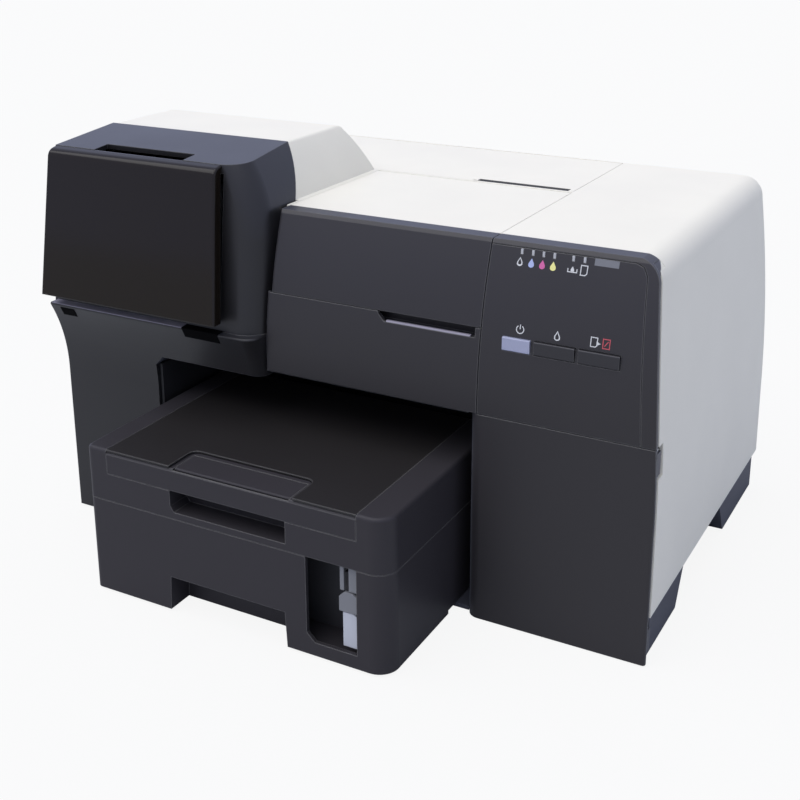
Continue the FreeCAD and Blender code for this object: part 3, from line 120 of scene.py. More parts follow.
table = bpy.data.meshes.new("table_top")
reach = 30
table_corners = [(-reach, -reach, 0), (reach, -reach, 0), (reach, reach, 0), (-reach, reach, 0)]
table.from_pydata(table_corners, [], [(0, 1, 2, 3)])
table_top = placed("table_top", table)
card, leaf, plain = new_finish("white_card")
plain.inputs["Base Color"].default_value = (0.6, 0.62, 0.67, 1)
plain.inputs["Roughness"].default_value = 0.9
plain.inputs["Specular IOR Level"].default_value = 0.1
glow = node(leaf, "Emission", {"Color": white})
ray = node(leaf, "LightPath", {})
share = node(leaf, "Math", {0: ray.outputs["Is Camera Ray"], 1: 0.9}, operation="MULTIPLY")
mixer = node(leaf, "MixShader", {0: share.outputs[0], 1: plain.outputs[0], 2: glow.outputs[0]})
leaf.links.new(mixer.outputs[0], leaf.nodes["Material Output"].inputs["Surface"])
table.materials.append(card)


# ---- Lower case and feet --------------------------------------------------------------------
# The tub that everything stands in: blue-grey ABS with a fine eroded grain, arched along both
# sides, moulded in one piece. Four black rubber pads are glued into dishes under its corners.
def scaled(colour, factor):
    """A colour made darker or lighter."""
    return [min(1, v * factor) for v in colour[:3]] + [1]


def moulded(name, colour, roughness, grain=0.45, depth=0.01, soft_edge=0.5, wear_and_highlight=0.25, gloss=0.5, sheen=0):
    """Injection-moulded plastic with paler edges, partly wear and partly painted highlight. The grain, its
    depth and the edge radius are in millimetres.
    """
    finish, tree, shader = new_finish(name)
    shader.inputs["Specular IOR Level"].default_value = gloss
    shader.inputs["Sheen Weight"].default_value = sheen
    shader.inputs["Sheen Roughness"].default_value = 0.35
    shader.inputs["Sheen Tint"].default_value = (0.72, 0.78, 1.0, 1)
    place = node(tree, "TexCoord", {})
    cloud = node(tree, "TexNoise", {"Vector": place.outputs["Object"], "Scale": 17, "Detail": 4})
    tones = {"Factor": cloud.outputs["Fac"], "A": scaled(colour, 0.965), "B": scaled(colour, 1.035)}
    shade = node(tree, "Mix", tones, data_type="RGBA")
    edge = node(tree, "Bevel", {"Radius": soft_edge / 1000}, samples=4)
    face = node(tree, "NewGeometry", {})
    normals = {0: edge.outputs["Normal"], 1: face.outputs["Normal"]}
    turn = node(tree, "VectorMath", normals, operation="DOT_PRODUCT")
    # The rounded edges are painted paler: partly wear, partly painted highlight.
    limits = {"Value": turn.outputs["Value"], "From Min": 0.99, "From Max": 0.8, "To Max": wear_and_highlight}
    worn_and_lit_edges = node(tree, "MapRange", limits)
    pale = [v + (1 - v) * 0.3 for v in colour[:3]] + [1]
    coats = {"Factor": worn_and_lit_edges.outputs["Result"], "A": shade.outputs["Result"], "B": pale}
    rubbed_and_lit = node(tree, "Mix", coats, data_type="RGBA")
    tree.links.new(rubbed_and_lit.outputs["Result"], shader.inputs["Base Color"])
    spread = {"Value": cloud.outputs["Fac"], "To Min": roughness - 0.05, "To Max": roughness + 0.05}
    dull = node(tree, "MapRange", spread)
    tree.links.new(dull.outputs["Result"], shader.inputs["Roughness"])
    pits = node(tree, "TexNoise", {"Vector": place.outputs["Object"], "Scale": 1000 / grain, "Detail": 2})
    dents = {"Strength": 0.6, "Distance": depth / 1000}
    relief = node(tree, "Bump", dents | {"Height": pits.outputs["Fac"], "Normal": edge.outputs["Normal"]})
    tree.links.new(relief.outputs["Normal"], shader.inputs["Normal"])
    return finish


def finish_parts(finish, *parts):
    """Gives a finish to the parts that carry it."""
    for part in parts:
        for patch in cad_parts[part].material_slots:
            patch.material = finish


tub_grey = moulded("tub_grey", srgb(70, 72, 84), 0.55)
foot_rubber = moulded("foot_rubber", srgb(34, 34, 35), 0.85, grain=0.9, depth=0.03, gloss=0.3)
finish_parts(tub_grey, "lower_case")
finish_parts(foot_rubber, "rubber_feet")


# ---- Steel chassis --------------------------------------------------------------------------
# Two folded side plates, the cross frame at the back and the bar that the carriage hangs on.
# They are zinc-coated sheet, rolled lengthways, and held to the tub with pan-head screws.
def rolled_metal(name, colour, roughness, along=(1, 1, 1), scale=260):
    """Bare or plated metal with a fine directional streak and a patchy sheen."""
    finish, tree, shader = new_finish(name)
    shader.inputs["Metallic"].default_value = 1
    place = node(tree, "TexCoord", {})
    draw = node(tree, "Mapping", {"Vector": place.outputs["Object"], "Scale": along})
    streak = node(tree, "TexNoise", {"Vector": draw.outputs["Vector"], "Scale": scale, "Detail": 3})
    tones = {"Factor": streak.outputs["Fac"], "A": scaled(colour, 0.82), "B": scaled(colour, 1.1)}
    tone = node(tree, "Mix", tones, data_type="RGBA")
    tree.links.new(tone.outputs["Result"], shader.inputs["Base Color"])
    spread = {"Value": streak.outputs["Fac"], "To Min": roughness - 0.1, "To Max": roughness + 0.1}
    dull = node(tree, "MapRange", spread)
    tree.links.new(dull.outputs["Result"], shader.inputs["Roughness"])
    scratch = node(tree, "Bump", {"Strength": 0.3, "Distance": 0.00002, "Height": streak.outputs["Fac"]})
    tree.links.new(scratch.outputs["Normal"], shader.inputs["Normal"])
    return finish


def piece_of(name, shape, finish=None):
    """The object of a bmesh shape, with its finish."""
    mesh = bpy.data.meshes.new(name)
    shape.to_mesh(mesh)
    shape.free()
    if finish:
        mesh.materials.append(finish)
    return placed(name, mesh)


def cast(name, outline, axis, low, high, finish, body="", soft=0.3):
    """A piece with one outline all along an axis, in millimetres, and softly rounded edges."""
    orders = {"x": lambda u, v, w: (w, u, v), "y": lambda u, v, w: (u, w, v), "z": lambda u, v, w: (u, v, w)}
    order = orders[axis]
    shape = bmesh.new()
    base = shape.faces.new([shape.verts.new(Vector(order(u, v, low)) / 1000) for u, v in outline])
    raised = bmesh.ops.extrude_face_region(shape, geom=[base])
    lift = Vector(order(0, 0, (high - low) / 1000))
    far_end = [v for v in raised["geom"] if isinstance(v, bmesh.types.BMVert)]
    bmesh.ops.translate(shape, vec=lift, verts=far_end)
    bmesh.ops.recalc_face_normals(shape, faces=shape.faces)
    if soft:
        sharp = [e for e in shape.edges if e.calc_face_angle(0) > 0.5]
        bmesh.ops.bevel(shape, geom=sharp, offset=soft / 1000, segments=2, profile=0.5, affect="EDGES")
    piece = piece_of(name, shape, finish)
    if body:
        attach(piece, body)
    return piece


def box(left, low, right, high):
    """The outline of an upright rectangle."""
    return [(left, low), (right, low), (right, high), (left, high)]


def curve_of(middle, radius, first, last, steps=10):
    """Points of a circle about a middle, angles in degrees."""
    turns = [math.radians(first + (last - first) * i / steps) for i in range(steps + 1)]
    return [(middle[0] + radius * math.cos(a), middle[1] + radius * math.sin(a)) for a in turns]


def plain_mesh(thing):
    """The mesh of an object as its modifiers leave it."""
    return bpy.data.meshes.new_from_object(thing.evaluated_get(bpy.context.evaluated_depsgraph_get()))


def row_of(name, unit, count, step, finish, body):
    """A row of one small shape by Geometry Nodes: its count and its step in millimetres are inputs."""
    tree = bpy.data.node_groups.new(name + "_row", "GeometryNodeTree")
    tree.interface.new_socket("Shape", in_out="INPUT", socket_type="NodeSocketGeometry")
    how_many = tree.interface.new_socket("Count", in_out="INPUT", socket_type="NodeSocketInt")
    spacing = tree.interface.new_socket("Step", in_out="INPUT", socket_type="NodeSocketVector")
    coat = tree.interface.new_socket("Finish", in_out="INPUT", socket_type="NodeSocketMaterial")
    tree.interface.new_socket("Row", in_out="OUTPUT", socket_type="NodeSocketGeometry")
    given = tree.nodes.new("NodeGroupInput")
    places = tree.nodes.new("GeometryNodeMeshLine")
    places.mode = "OFFSET"
    tree.links.new(given.outputs["Count"], places.inputs["Count"])
    tree.links.new(given.outputs["Step"], places.inputs["Offset"])
    copies = tree.nodes.new("GeometryNodeInstanceOnPoints")
    tree.links.new(places.outputs["Mesh"], copies.inputs["Points"])
    tree.links.new(given.outputs["Shape"], copies.inputs["Instance"])
    real = tree.nodes.new("GeometryNodeRealizeInstances")
    tree.links.new(copies.outputs["Instances"], real.inputs[0])
    coated = tree.nodes.new("GeometryNodeSetMaterial")
    tree.links.new(real.outputs[0], coated.inputs["Geometry"])
    tree.links.new(given.outputs["Finish"], coated.inputs["Material"])
    result = tree.nodes.new("NodeGroupOutput")
    tree.links.new(coated.outputs[0], result.inputs[0])
    repeat = unit.modifiers.new("row", "NODES")
    repeat.node_group = tree
    repeat[how_many.identifier] = count
    repeat[spacing.identifier] = [v / 1000 for v in step]
    repeat[coat.identifier] = finish
    mesh = plain_mesh(unit)
    mesh.name = name
    unit.modifiers.remove(repeat)
    bpy.data.objects.remove(unit)
    piece = placed(name, mesh)
    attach(piece, body)
    return piece


def screw(across, back, up, head=3.2):
    """A pan-head screw seen from behind: a domed head with a cross recess, in millimetres."""
    steps = 20
    rings = [(head, 0.0), (head, 0.7), (head * 0.86, 1.3), (head * 0.5, 1.6)]
    recess_floor = 0.5
    shape = bmesh.new()
    loops = []
    for radius, height in rings:
        ring = curve_of((across, up), radius, 0, 360 - 360 / steps, steps - 1)
        loops.append([shape.verts.new(Vector((x, back + height, z)) / 1000) for x, z in ring])
    for inner, outer in zip(loops, loops[1:]):
        for i in range(steps):
            shape.faces.new([inner[i - 1], inner[i], outer[i], outer[i - 1]])
    pit = shape.verts.new(Vector((across, back + recess_floor, up)) / 1000)
    top = loops[-1]
    arms = [v if i % 5 in (0, 1) else shape.verts.new((v.co + pit.co * 2) / 3) for i, v in enumerate(top)]
    for i in range(steps):
        corner = [top[i - 1], top[i], arms[i], arms[i - 1]]
        unlike = list(dict.fromkeys(corner))
        if len(unlike) > 2:
            shape.faces.new(unlike)
        shape.faces.new([arms[i - 1], arms[i], pit])
    shape.faces.new(loops[0])
    bmesh.ops.recalc_face_normals(shape, faces=shape.faces)
    return piece_of("screw", shape)


zinc_sheet = rolled_metal("zinc_sheet", srgb(188, 190, 192), 0.38, along=(1, 0.05, 1))
ground_steel = rolled_metal("ground_steel", srgb(205, 206, 208), 0.25, along=(0.02, 1, 1))
finish_parts(zinc_sheet, "left_plate", "right_plate", "rear_frame", "guide_rail")
finish_parts(zinc_sheet, "lift_brackets", "lift_plate")
finish_parts(ground_steel, "service_cover_pins")
row_of("frame_screws", screw(-120, 106.6, 232), 6, (62, 0, 0), ground_steel, "printer")


# ---- Power supply, boards and motors --------------------------------------------------------
# A closed mains supply behind the tower, the main board on the right plate, the button board
# behind the control panel, and two can motors: one for the paper feed, one for the carriage.
def printed_board(name, colour):
    """Glass-epoxy board: solder mask over copper tracks, with plated pads."""
    finish, tree, shader = new_finish(name)
    shader.inputs["Roughness"].default_value = 0.35
    place = node(tree, "TexCoord", {})
    pattern = {"distance": "CHEBYCHEV", "feature": "DISTANCE_TO_EDGE"}
    tracks = node(tree, "TexVoronoi", {"Vector": place.outputs["Object"], "Scale": 190}, **pattern)
    line = node(tree, "MapRange", {"Value": tracks.outputs["Distance"], "From Min": 0.02, "From Max": 0.05})
    shades = {"Factor": line.outputs["Result"], "A": scaled(colour, 2.1), "B": colour}
    mask = node(tree, "Mix", shades, data_type="RGBA")
    tree.links.new(mask.outputs["Result"], shader.inputs["Base Color"])
    return finish


solder_mask = printed_board("solder_mask", srgb(28, 92, 52))
can_black = moulded("can_black", srgb(44, 44, 47), 0.45, grain=0.8)
finish_parts(solder_mask, "main_board", "button_board")
finish_parts(zinc_sheet, "power_supply", "feed_motor", "carriage_motor")


# ---- Paper path -----------------------------------------------------------------------------
# Ground steel shafts with rubber sleeves pressed on, the ribbed platen, the moulded turn-round
# unit that clips in at the back, and the gear train that drives the rollers.
chassis_black = moulded("chassis_black", srgb(48, 48, 51), 0.5, grain=0.7)
sleeve_rubber = moulded("sleeve_rubber", srgb(58, 58, 60), 0.75, grain=0.6, depth=0.03, gloss=0.3)
natural_acetal = moulded("natural_acetal", srgb(206, 207, 205), 0.4, grain=1.2, wear_and_highlight=0.1)
turned_brass = rolled_metal("turned_brass", srgb(206, 172, 98), 0.28, along=(0.05, 1, 1))
finish_parts(chassis_black, "platen", "rear_unit", "cap_unit", "waste_ink_box", "bay_liner")
finish_parts(sleeve_rubber, "feed_roller", "exit_roller", "pickup_roller", "turn_roller")
finish_parts(natural_acetal, "feed_gear", "idler_pulley", "drive_pulley")
finish_parts(turned_brass, "motor_pinion")


# ---- Carriage -------------------------------------------------------------------------------
# The black moulded carriage carries the print head under it and slides on the guide rail. A
# toothed belt pulls it, and it reads its place from a clear film ruled with fine black lines.
encoder_film, film, clear = new_finish("encoder_film")
clear.inputs["Roughness"].default_value = 0.15
clear.inputs["Transmission Weight"].default_value = 0.6
ruler = node(film, "TexCoord", {})
bands = {"Vector": ruler.outputs["Object"], "Scale": 300, "Distortion": 0}
lines = node(film, "TexWave", bands, bands_direction="X")
shades = {"Factor": lines.outputs["Fac"], "A": srgb(60, 60, 62), "B": srgb(226, 228, 226)}
ruling = node(film, "Mix", shades, data_type="RGBA")
film.links.new(ruling.outputs["Result"], clear.inputs["Base Color"])
finish_parts(chassis_black, "carriage", "print_head")
finish_parts(sleeve_rubber, "carriage_belt")
finish_parts(encoder_film, "encoder_strip")
for run, low, high in (("low", 208.8, 209.5), ("high", 222.5, 223.2)):
    unit = cast("belt_tooth", box(-136, low, -134.9, high), "y", 98.4, 103.6, sleeve_rubber, soft=0.12)
    row_of("belt_teeth_" + run, unit, 138, (2.5, 0, 0), sleeve_rubber, "printer")


# ---- Upper case and lids --------------------------------------------------------------------
# The large off-white shell and the two lids in its top: warm white ABS with a very fine spark
# grain, a little duller than satin. The lids turn on pins moulded into their rear corners.
case_white = moulded("case_white", srgb(251, 248, 240), 0.5, grain=0.5, depth=0.004, wear_and_highlight=0.15, gloss=0.25)
finish_parts(case_white, "upper_case", "printer_lid", "rear_tray_lid")
finish_parts(chassis_black, "rear_hopper")
finish_parts(natural_acetal, "rear_edge_guide")

# Ribs that the sheets slide down, air slots by the main board, and the screws of the case.
rib = [(120.5, 181), (137.1, 215), (138.0, 214.6), (121.4, 180.6)]
unit = cast("hopper_rib", rib, "x", -118.6, -117.4, chassis_black, soft=0.15)
row_of("hopper_ribs", unit, 13, (17, 0, 0), chassis_black, "printer")
slot = [(189.6, 187.6), (189.2, 196), (187.6, 230), (187.3, 236.4), (186.6, 236.4), (188.8, 187.6)]
unit = cast("vent_slot", slot, "x", 128, 130.4, chassis_black, soft=0.15)
row_of("rear_vents", unit, 15, (5.6, 0, 0), chassis_black, "printer")
row_of("case_screws", screw(-205, 187.3, 200), 2, (413, 0, 0), ground_steel, "printer")

# The rear lid with a recess for the fingers cut into its front edge, and in the recess a black lining that
# paints its shade.
blank = placed("lid_blank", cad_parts["rear_tray_lid"].data.copy())
weld = bmesh.new()
weld.from_mesh(blank.data)
bmesh.ops.remove_doubles(weld, verts=weld.verts, dist=1e-6)
bmesh.ops.dissolve_limit(weld, angle_limit=0.002, verts=weld.verts, edges=weld.edges)
weld.to_mesh(blank.data)
weld.free()
scoop = [(60, 265.7), (69.9, 265.7), (71.9, 269.5), (60, 269.5)]
cutter = cast("grip_cutter", scoop, "x", 36, 111, case_white, soft=0)
carve = blank.modifiers.new("grip", "BOOLEAN")
carve.object = cutter
carve.operation = "DIFFERENCE"
carve.solver = "EXACT"
carved = plain_mesh(blank)
blank.modifiers.remove(carve)
for spare in (blank, cutter):
    bpy.data.objects.remove(spare)
carved.name = "rear_lid_cut"
carved.materials.clear()
carved.materials.append(case_white)
rear_lid = placed("rear_lid_cut", carved)
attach(rear_lid, "rear_tray_lid")
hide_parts("rear_tray_lid")
# The black lining is painted shade in the finger recess.
grip_shade = [(64.7, 266.05), (69.5, 266.05), (70.55, 267.95), (71.4, 267.95), (70.1, 265.45), (64.7, 265.45)]
cast("rear_lid_grip_shade", grip_shade, "x", 36.3, 110.7, chassis_black, "rear_tray_lid", 0)


# ---- Front panels ---------------------------------------------------------------------------
# Visor, lower panel, control panel and the frame round them: charcoal ABS in the same curve,
# matt with a fine grain, clipped to the chassis from inside so that no screw shows.
front_charcoal = moulded("front_charcoal", srgb(47, 45, 48), 0.4, grain=0.5, depth=0.006, soft_edge=0.9,
                         wear_and_highlight=0.6, gloss=0.4, sheen=0.2)
finish_parts(front_charcoal, "visor", "lower_panel", "control_panel", "front_frame")

# The frame turns back over the case's top right corner and runs out to nothing down the side,
# where a white lip of the case lies under it.
corner_mid = (212.4, 252)
corner_low, taper_high, corner_high = 24, 50, 72
case_front, taper_depth = -68.9, 12.1


def corner_wall(radius):
    """The outline of a thin wall round the corner, in millimetres."""
    inside = curve_of(corner_mid, 13.4, corner_high, corner_low)
    return curve_of(corner_mid, radius, corner_low, corner_high) + inside


cast("case_lip", corner_wall(16.3), "y", -80.6, case_front, case_white, "printer", 0)
frame_return = cast("frame_return", corner_wall(16.4), "y", -81.2, case_front, front_charcoal, "printer", 0)
for corner in frame_return.data.vertices:
    x, y, z = corner.co * 1000
    if y > -75:
        rise = math.degrees(math.atan2(z - corner_mid[1], x - corner_mid[0]))
        thinning = min(1, max(0, (taper_high - rise) / (taper_high - corner_low)))
        corner.co.y = (case_front - taper_depth * thinning) / 1000

# A grey lip lines the lower edge of the slot between the visor and the lower panel; its pale grey is a
# painted highlight where the slot's floor catches the light.
highlight_grey = moulded("highlight_grey", srgb(150, 147, 166), 0.45, grain=0.5, depth=0.005, soft_edge=0.4,
                    wear_and_highlight=0.2, gloss=0.4)
lip = [(-98.8, 204.6), (-98.8, 205.2), (-98.2, 205.8), (-96.4, 205.8), (-94.6, 205.0), (-94.6, 204.1)]
cast("slot_lip_highlight", lip, "x", 46, 108.5, highlight_grey, "printer", 0.2)


# ---- Buttons and lamps ----------------------------------------------------------------------
# One silver power button and two dark ones float in a common slot on their own springs. Six
# clear light pipes carry the lamps of the button board up to the edge of the panel.
key_silver = moulded("key_silver", srgb(168, 173, 203), 0.3, grain=0.8, depth=0.004, wear_and_highlight=0.5)
key_dark = moulded("key_dark", srgb(44, 43, 48), 0.3, grain=0.8, depth=0.003, wear_and_highlight=0.35)
finish_parts(key_silver, "power_button")
finish_parts(key_dark, "ink_button", "paper_button")
light_pipe = moulded("light_pipe", srgb(196, 198, 206), 0.18, grain=1.5, depth=0.002, wear_and_highlight=0.0)
finish_parts(light_pipe, "indicator_lenses")


# ---- Printed symbols ------------------------------------------------------------------------
# Pad-printed symbols, a few hundredths of a millimetre thick: ink drops under four lamps, a
# box and a sheet under the others, and a symbol over each button. All are common signs.
face_radius, face_middle, face_front = 323.6, 154.0, 103.0
sign_height = 0.02
sign_lift = 0.07


def on_panel(across, up, lift):
    """A point on the curved face of the panel, from millimetres across and up, lifted off it."""
    rise = up - face_middle
    back = face_radius - face_front - math.sqrt(face_radius ** 2 - rise * rise)
    return Vector((across, back - lift, up)) / 1000


def stroke(points, width, closed=False):
    """The outline of a line of even width drawn through points."""
    points = [Vector(p) for p in points]
    left, right = [], []
    for i, here in enumerate(points):
        ahead = points[(i + 1) % len(points)] - here
        behind = here - points[i - 1]
        if not closed and i == 0:
            behind = ahead
        if not closed and i == len(points) - 1:
            ahead = behind
        ahead, behind = ahead.normalized(), behind.normalized()
        middle = (ahead + behind).normalized()
        side = Vector((-middle.y, middle.x))
        reach = width / 2 / max(0.5, side.dot(Vector((-ahead.y, ahead.x))))
        left.append(here + side * reach)
        right.append(here - side * reach)
    return [left, right] if closed else [left + right[::-1]]


def drop(height, width):
    """The outline of a hanging drop, its middle at the origin."""
    round_part = curve_of((0, -height / 2 + width / 2), width / 2, 205, 335, 14)
    sides = [(width * 0.44, -height * 0.06), (width * 0.22, height * 0.22), (0, height / 2)]
    return round_part + sides + [(-x, y) for x, y in sides[1::-1]]


def printed(name, outlines, across, up, ink):
    """A flat printed sign on the panel. Outlines inside others are holes."""
    sign = bpy.data.curves.new(name, "CURVE")
    sign.dimensions = "2D"
    sign.fill_mode = "BOTH"
    sign.extrude = sign_height
    for outline in outlines:
        line = sign.splines.new("POLY")
        line.points.add(len(outline) - 1)
        for point, (x, y) in zip(line.points, outline):
            point.co = (x, y, 0, 1)
        line.use_cyclic_u = True
    flat = placed(name + "_line", sign)
    mesh = plain_mesh(flat)
    bpy.data.objects.remove(flat)
    for vertex in mesh.vertices:
        vertex.co = on_panel(across + vertex.co.x, up + vertex.co.y, sign_lift + vertex.co.z)
    mesh.name = name
    mesh.materials.clear()
    mesh.materials.append(ink)
    piece = placed(name, mesh)
    repair = bmesh.new()
    repair.from_mesh(mesh)
    bmesh.ops.remove_doubles(repair, verts=repair.verts, dist=1e-7)
    bmesh.ops.recalc_face_normals(repair, faces=repair.faces)
    repair.to_mesh(mesh)
    repair.free()
    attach(piece, "printer")
    return piece


def pad_ink(name, colour):
    """Opaque ink for pad printing."""
    return moulded(name, colour, 0.6, grain=0.2, wear_and_highlight=0, soft_edge=0.02)


pale_ink = pad_ink("pale_ink", srgb(214, 216, 222))
cyan_ink = pad_ink("cyan_ink", srgb(176, 188, 236))
magenta_ink = pad_ink("magenta_ink", srgb(214, 104, 168))
yellow_ink = pad_ink("yellow_ink", srgb(244, 240, 160))
red_ink = pad_ink("red_ink", srgb(196, 84, 96))

lamp_up = 256.7
page = [(-2.1, -2.9), (1.0, -2.9), (2.1, -1.8), (2.1, 2.9), (-2.1, 2.9)]
printed("symbol_black_drop", [drop(5.6, 4.2), drop(3.6, 2.5)], 137.1, lamp_up, pale_ink)
printed("symbol_cyan_drop", [drop(5.6, 4.2)], 144.9, lamp_up, cyan_ink)
printed("symbol_magenta_drop", [drop(5.6, 4.2)], 152.3, lamp_up, magenta_ink)
printed("symbol_yellow_drop", [drop(5.6, 4.2)], 159.6, lamp_up, yellow_ink)
cup = stroke([(-3, 0.2), (-3, -1.9), (3, -1.9), (3, 0.2)], 0.6)
printed("symbol_waste_box", cup + [[(x, y - 0.1) for x, y in drop(3.4, 2.6)]], 172.6, lamp_up, pale_ink)
printed("symbol_sheet", stroke(page, 0.6, True), 180.2, lamp_up, pale_ink)

sign_up = 215.1
switch = stroke(curve_of((0, 0), 2.5, 122, 418, 30), 0.65) + stroke([(0, 0.2), (0, 3.2)], 0.65)
printed("symbol_power", switch, 143.0, sign_up, pale_ink)
printed("symbol_drop", [drop(6.2, 4.4), [(x, y - 0.2) for x, y in drop(4.3, 2.7)]], 168.2, sign_up, pale_ink)
printed("symbol_paper", stroke(page, 0.6, True), 192.6, sign_up, pale_ink)
printed("symbol_feed", [[(0.2, -2.0), (3.0, -0.6), (0.2, 0.8)]], 194.0, sign_up, pale_ink)
cancel = stroke(box(-2.2, -2.9, 2.2, 2.9), 0.6, True)
printed("symbol_cancel", cancel, 200.6, sign_up, red_ink)
printed("symbol_cancel_bars", stroke([(-1.2, -1.6), (1.2, 1.6)], 0.6), 200.6, sign_up, red_ink)

status_grey = moulded("status_grey", srgb(120, 122, 130), 0.3, grain=1, wear_and_highlight=0.1, soft_edge=0.1)
printed("status_window", [box(-7.9, -2.1, 7.9, 2.1)], 194.2, 262.7, status_grey)


# ---- Ink tower ------------------------------------------------------------------------------
# The tower's charcoal housing with its tray and four flat cartridges, behind a door of smoked
# polycarbonate, polished outside, that turns down on two ears under its lower edge.
housing_charcoal = moulded("housing_charcoal", srgb(34, 33, 35), 0.36, grain=0.5, depth=0.005, soft_edge=0.8,
                           wear_and_highlight=0.5, gloss=0.45, sheen=0.22)
door_smoke = moulded("door_smoke", srgb(27, 21, 15), 0.09, grain=6, depth=0.001, soft_edge=1.1, wear_and_highlight=0.3,
                     gloss=0.25)
cartridge_black = moulded("cartridge_black", srgb(40, 40, 43), 0.5, grain=0.9)
finish_parts(housing_charcoal, "ink_housing")
finish_parts(door_smoke, "ink_door")
finish_parts(chassis_black, "cartridge_tray")
finish_parts(cartridge_black, "ink_cartridges")

# A grey strip caps the ledge under the door; its pale grey is a painted highlight where the ledge's top
# catches the light. Two near-black pieces fill the recesses in the ledge that take the door's ears, as
# painted shade.
painted_shade_black = moulded("painted_shade_black", srgb(7, 7, 8), 0.8, soft_edge=0.05, wear_and_highlight=0, gloss=0.05)
left_notch = [(-113.8, 170.3), (-117.3, 177), (-116.4, 177), (-113.0, 170.3)]
cast("ledge_notch_shade_left", left_notch, "x", -229.7, -216.2, painted_shade_black, "printer", 0.1)
right_notch = [(-114.5, 172.0), (-118.75, 180.2), (-118.4, 180.5)]
right_notch += [(-112.0, 181.2), (-111.6, 180.0), (-114.0, 172.4)]
cast("ledge_notch_shade_right", right_notch, "x", -112.6, -81, painted_shade_black, "printer", 0.1)
# The strip's pale grey is a painted highlight on the ledge.
strip = [(-111.6, 179.9), (-118.4, 179.9), (-118.4, 180.4), (-112.1, 181.3), (-111.6, 181.3)]
cast("ledge_highlight_strip", strip, "x", -236.6, -112.8, highlight_grey, "printer", 0.2)

# Each cartridge has a paper label in its ink's colour and six gold-plated contacts.
label_inks = (("black", srgb(52, 52, 56)), ("cyan", srgb(40, 150, 196)),
              ("magenta", srgb(196, 62, 132)), ("yellow", srgb(232, 206, 70)))
first_cartridge, cartridge_step = -232.6, 37
gold_plate = rolled_metal("gold_plate", srgb(214, 178, 96), 0.25)
for number, (shade_name, tint) in enumerate(label_inks):
    left = first_cartridge + cartridge_step * number
    paper = moulded("label_" + shade_name, tint, 0.45, grain=0.3, depth=0.002, soft_edge=0.05, wear_and_highlight=0.05)
    label = box(left + 4, 236, left + 30.4, 270)
    cast("cartridge_label_" + shade_name, label, "y", -97.3, -96.9, paper, "printer", 0.08)
    contact = box(left + 8, 213.5, left + 10, 222.5)
    unit = cast("contact", contact, "y", -91.25, -90.9, gold_plate, soft=0.06)
    row_of("cartridge_contacts_" + shade_name, unit, 6, (3.3, 0, 0), gold_plate, "printer")


# ---- Service cover --------------------------------------------------------------------------
# The tall door at the lower right, moulded in the front's charcoal with a soft outer edge. It
# turns on two ground steel pins that are pressed in at its right edge.
finish_parts(front_charcoal, "service_cover")


# ---- Paper cassette -------------------------------------------------------------------------
# The cassette draws out to the front: a deep charcoal tray, a cover that catches the printed
# sheets, and inside it the lifting plate and three guides that close on the paper.
cassette_charcoal = moulded("cassette_charcoal", srgb(56, 54, 59), 0.42, grain=0.6, depth=0.006,
                            soft_edge=0.9, wear_and_highlight=0.6, gloss=0.2)
# A darker copy of the cassette's charcoal paints the shade on the deck.
shaded_deck_charcoal = moulded("shaded_deck_charcoal", srgb(40, 38, 39), 0.45, grain=0.6, depth=0.006, soft_edge=0.9,
                        wear_and_highlight=0.7, gloss=0.2)
finish_parts(cassette_charcoal, "cassette_tray", "cassette_cover", "output_slide", "paper_stop")
guide_grey = moulded("guide_grey", srgb(62, 62, 66), 0.5, grain=0.8, wear_and_highlight=0.3)
finish_parts(guide_grey, "side_guide_left", "side_guide_right", "end_guide")
finish_parts(natural_acetal, "guide_pinion")
finish_parts(foot_rubber, "retard_pad")

# The deck is a flat plate on the cover, cut out round the paper stop. Its darker charcoal is painted shade
# on the cover's top under the printer.
catch = [(-123.28, -28.2), (-123.28, -194.6), (-69, -194.6), (-69, -172)]
catch += curve_of((-63, -172), 6, 180, 90, 6) + curve_of((24, -172), 6, 90, 0, 6)
catch += [(30, -194.6), (77.28, -194.6), (77.28, -28.2)]
cast("cassette_deck", catch, "z", 111.25, 113, shaded_deck_charcoal, "cassette", 0.55)

# The paper size flag stands in the window of the cassette's front.
flag_pale = moulded("flag_pale", srgb(196, 200, 214), 0.4, grain=1, wear_and_highlight=0.2)
flag_grey = moulded("flag_grey", srgb(128, 130, 138), 0.45, grain=1, wear_and_highlight=0.2)
lower_flag = [(64.5, 14), (76.9, 14), (76.9, 36), (72.5, 39), (64.5, 39)]
cast("size_flag_low", lower_flag, "y", -191.2, -189.6, flag_pale, "cassette")
middle_flag = [(62, 39.6), (76.9, 39.6), (76.9, 51), (72, 54), (66, 54), (62, 50)]
cast("size_flag_mid", middle_flag, "y", -191.8, -189.4, flag_grey, "cassette")
for edge, (left, right) in enumerate(((62.5, 65.5), (69, 76.9)), 1):
    cast(f"size_flag_bar_{edge}", box(left, 54.6, right, 73), "y", -191, -189.8, flag_grey, "cassette", 0.2)


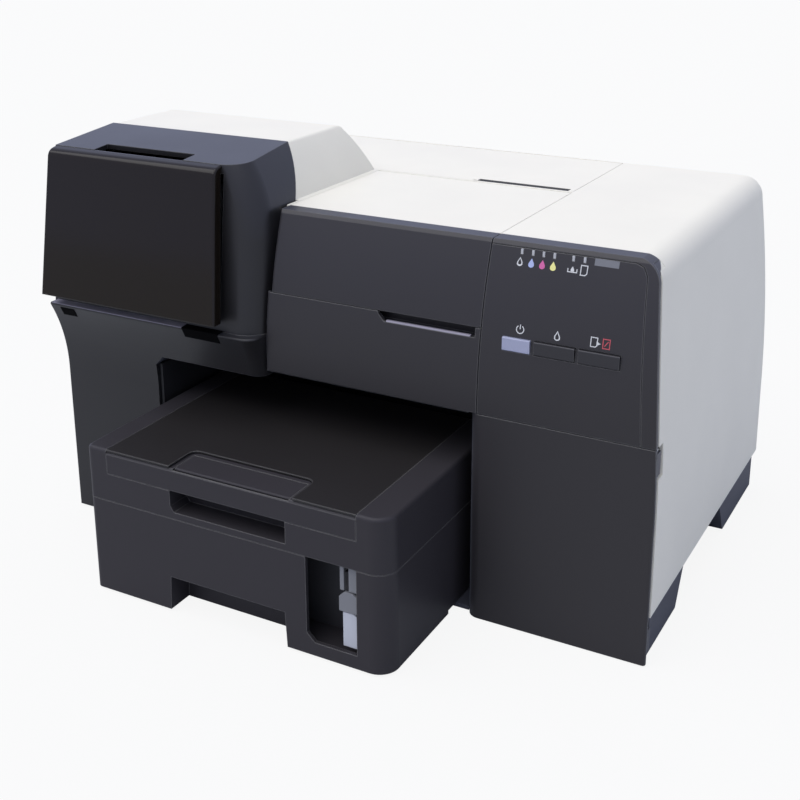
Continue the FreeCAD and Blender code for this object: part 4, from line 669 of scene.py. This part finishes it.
# ---- Sockets --------------------------------------------------------------------------------
# The mains inlet at the rear left, moulded in black, and the steel block with the two data
# sockets at the rear right. Blades are ground steel, and the small contacts are gold-plated.
finish_parts(can_black, "power_inlet")
finish_parts(zinc_sheet, "port_block")


def collar(name, outline, wall, low, high, finish):
    """A socket's collar that stands out to the back, from its outline and wall in millimetres."""
    outer, inner = stroke(outline, wall, True)
    shape = bmesh.new()
    loops = []
    for line, depth in ((outer, low), (outer, high), (inner, high), (inner, low)):
        loops.append([shape.verts.new(Vector((p[0], depth, p[1])) / 1000) for p in line])
    for this, other in zip(loops, loops[1:] + loops[:1]):
        for i in range(len(this)):
            shape.faces.new([this[i - 1], this[i], other[i], other[i - 1]])
    bmesh.ops.recalc_face_normals(shape, faces=shape.faces)
    piece = piece_of(name, shape, finish)
    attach(piece, "printer")


mouth = [(-217, 53), (-193, 53), (-193, 66), (-198, 71), (-212, 71), (-217, 66)]
collar("inlet_collar", mouth, 1.6, 191.5, 193.4, can_black)
unit = cast("inlet_blade", box(-212.4, 58, -210.4, 63), "y", 191.8, 193.1, ground_steel, soft=0.2)
row_of("inlet_blades", unit, 3, (6.4, 0, 0), ground_steel, "printer")
sockets = (("usb", [(202.6, 62.5), (213, 62.5), (213, 70.5), (210.5, 73), (205, 73), (202.6, 70.5)]),
           ("network", box(215.4, 61.5, 225, 72)))
mouth_gap = 0.3
for socket_name, edge in sockets:
    collar(socket_name + "_collar", edge, 0.7, 190.8, 192.2, zinc_sheet)
    middle = (edge[0][0] + edge[1][0]) / 2
    floor_edge = [(x + (mouth_gap if x < middle else -mouth_gap), z) for x, z in edge]
    cast(socket_name + "_mouth", floor_edge, "y", 190.9, 191.2, chassis_black, "printer", 0.05)
unit = cast("network_contact", box(217, 68.4, 217.4, 71.2), "y", 191.1, 191.5, gold_plate, soft=0)
row_of("network_contacts", unit, 8, (0.9, 0, 0), gold_plate, "printer")
unit = cast("usb_contact", box(206, 66, 206.7, 69.6), "y", 191.1, 191.5, gold_plate, soft=0)
row_of("usb_contacts", unit, 4, (1.1, 0, 0), gold_plate, "printer")
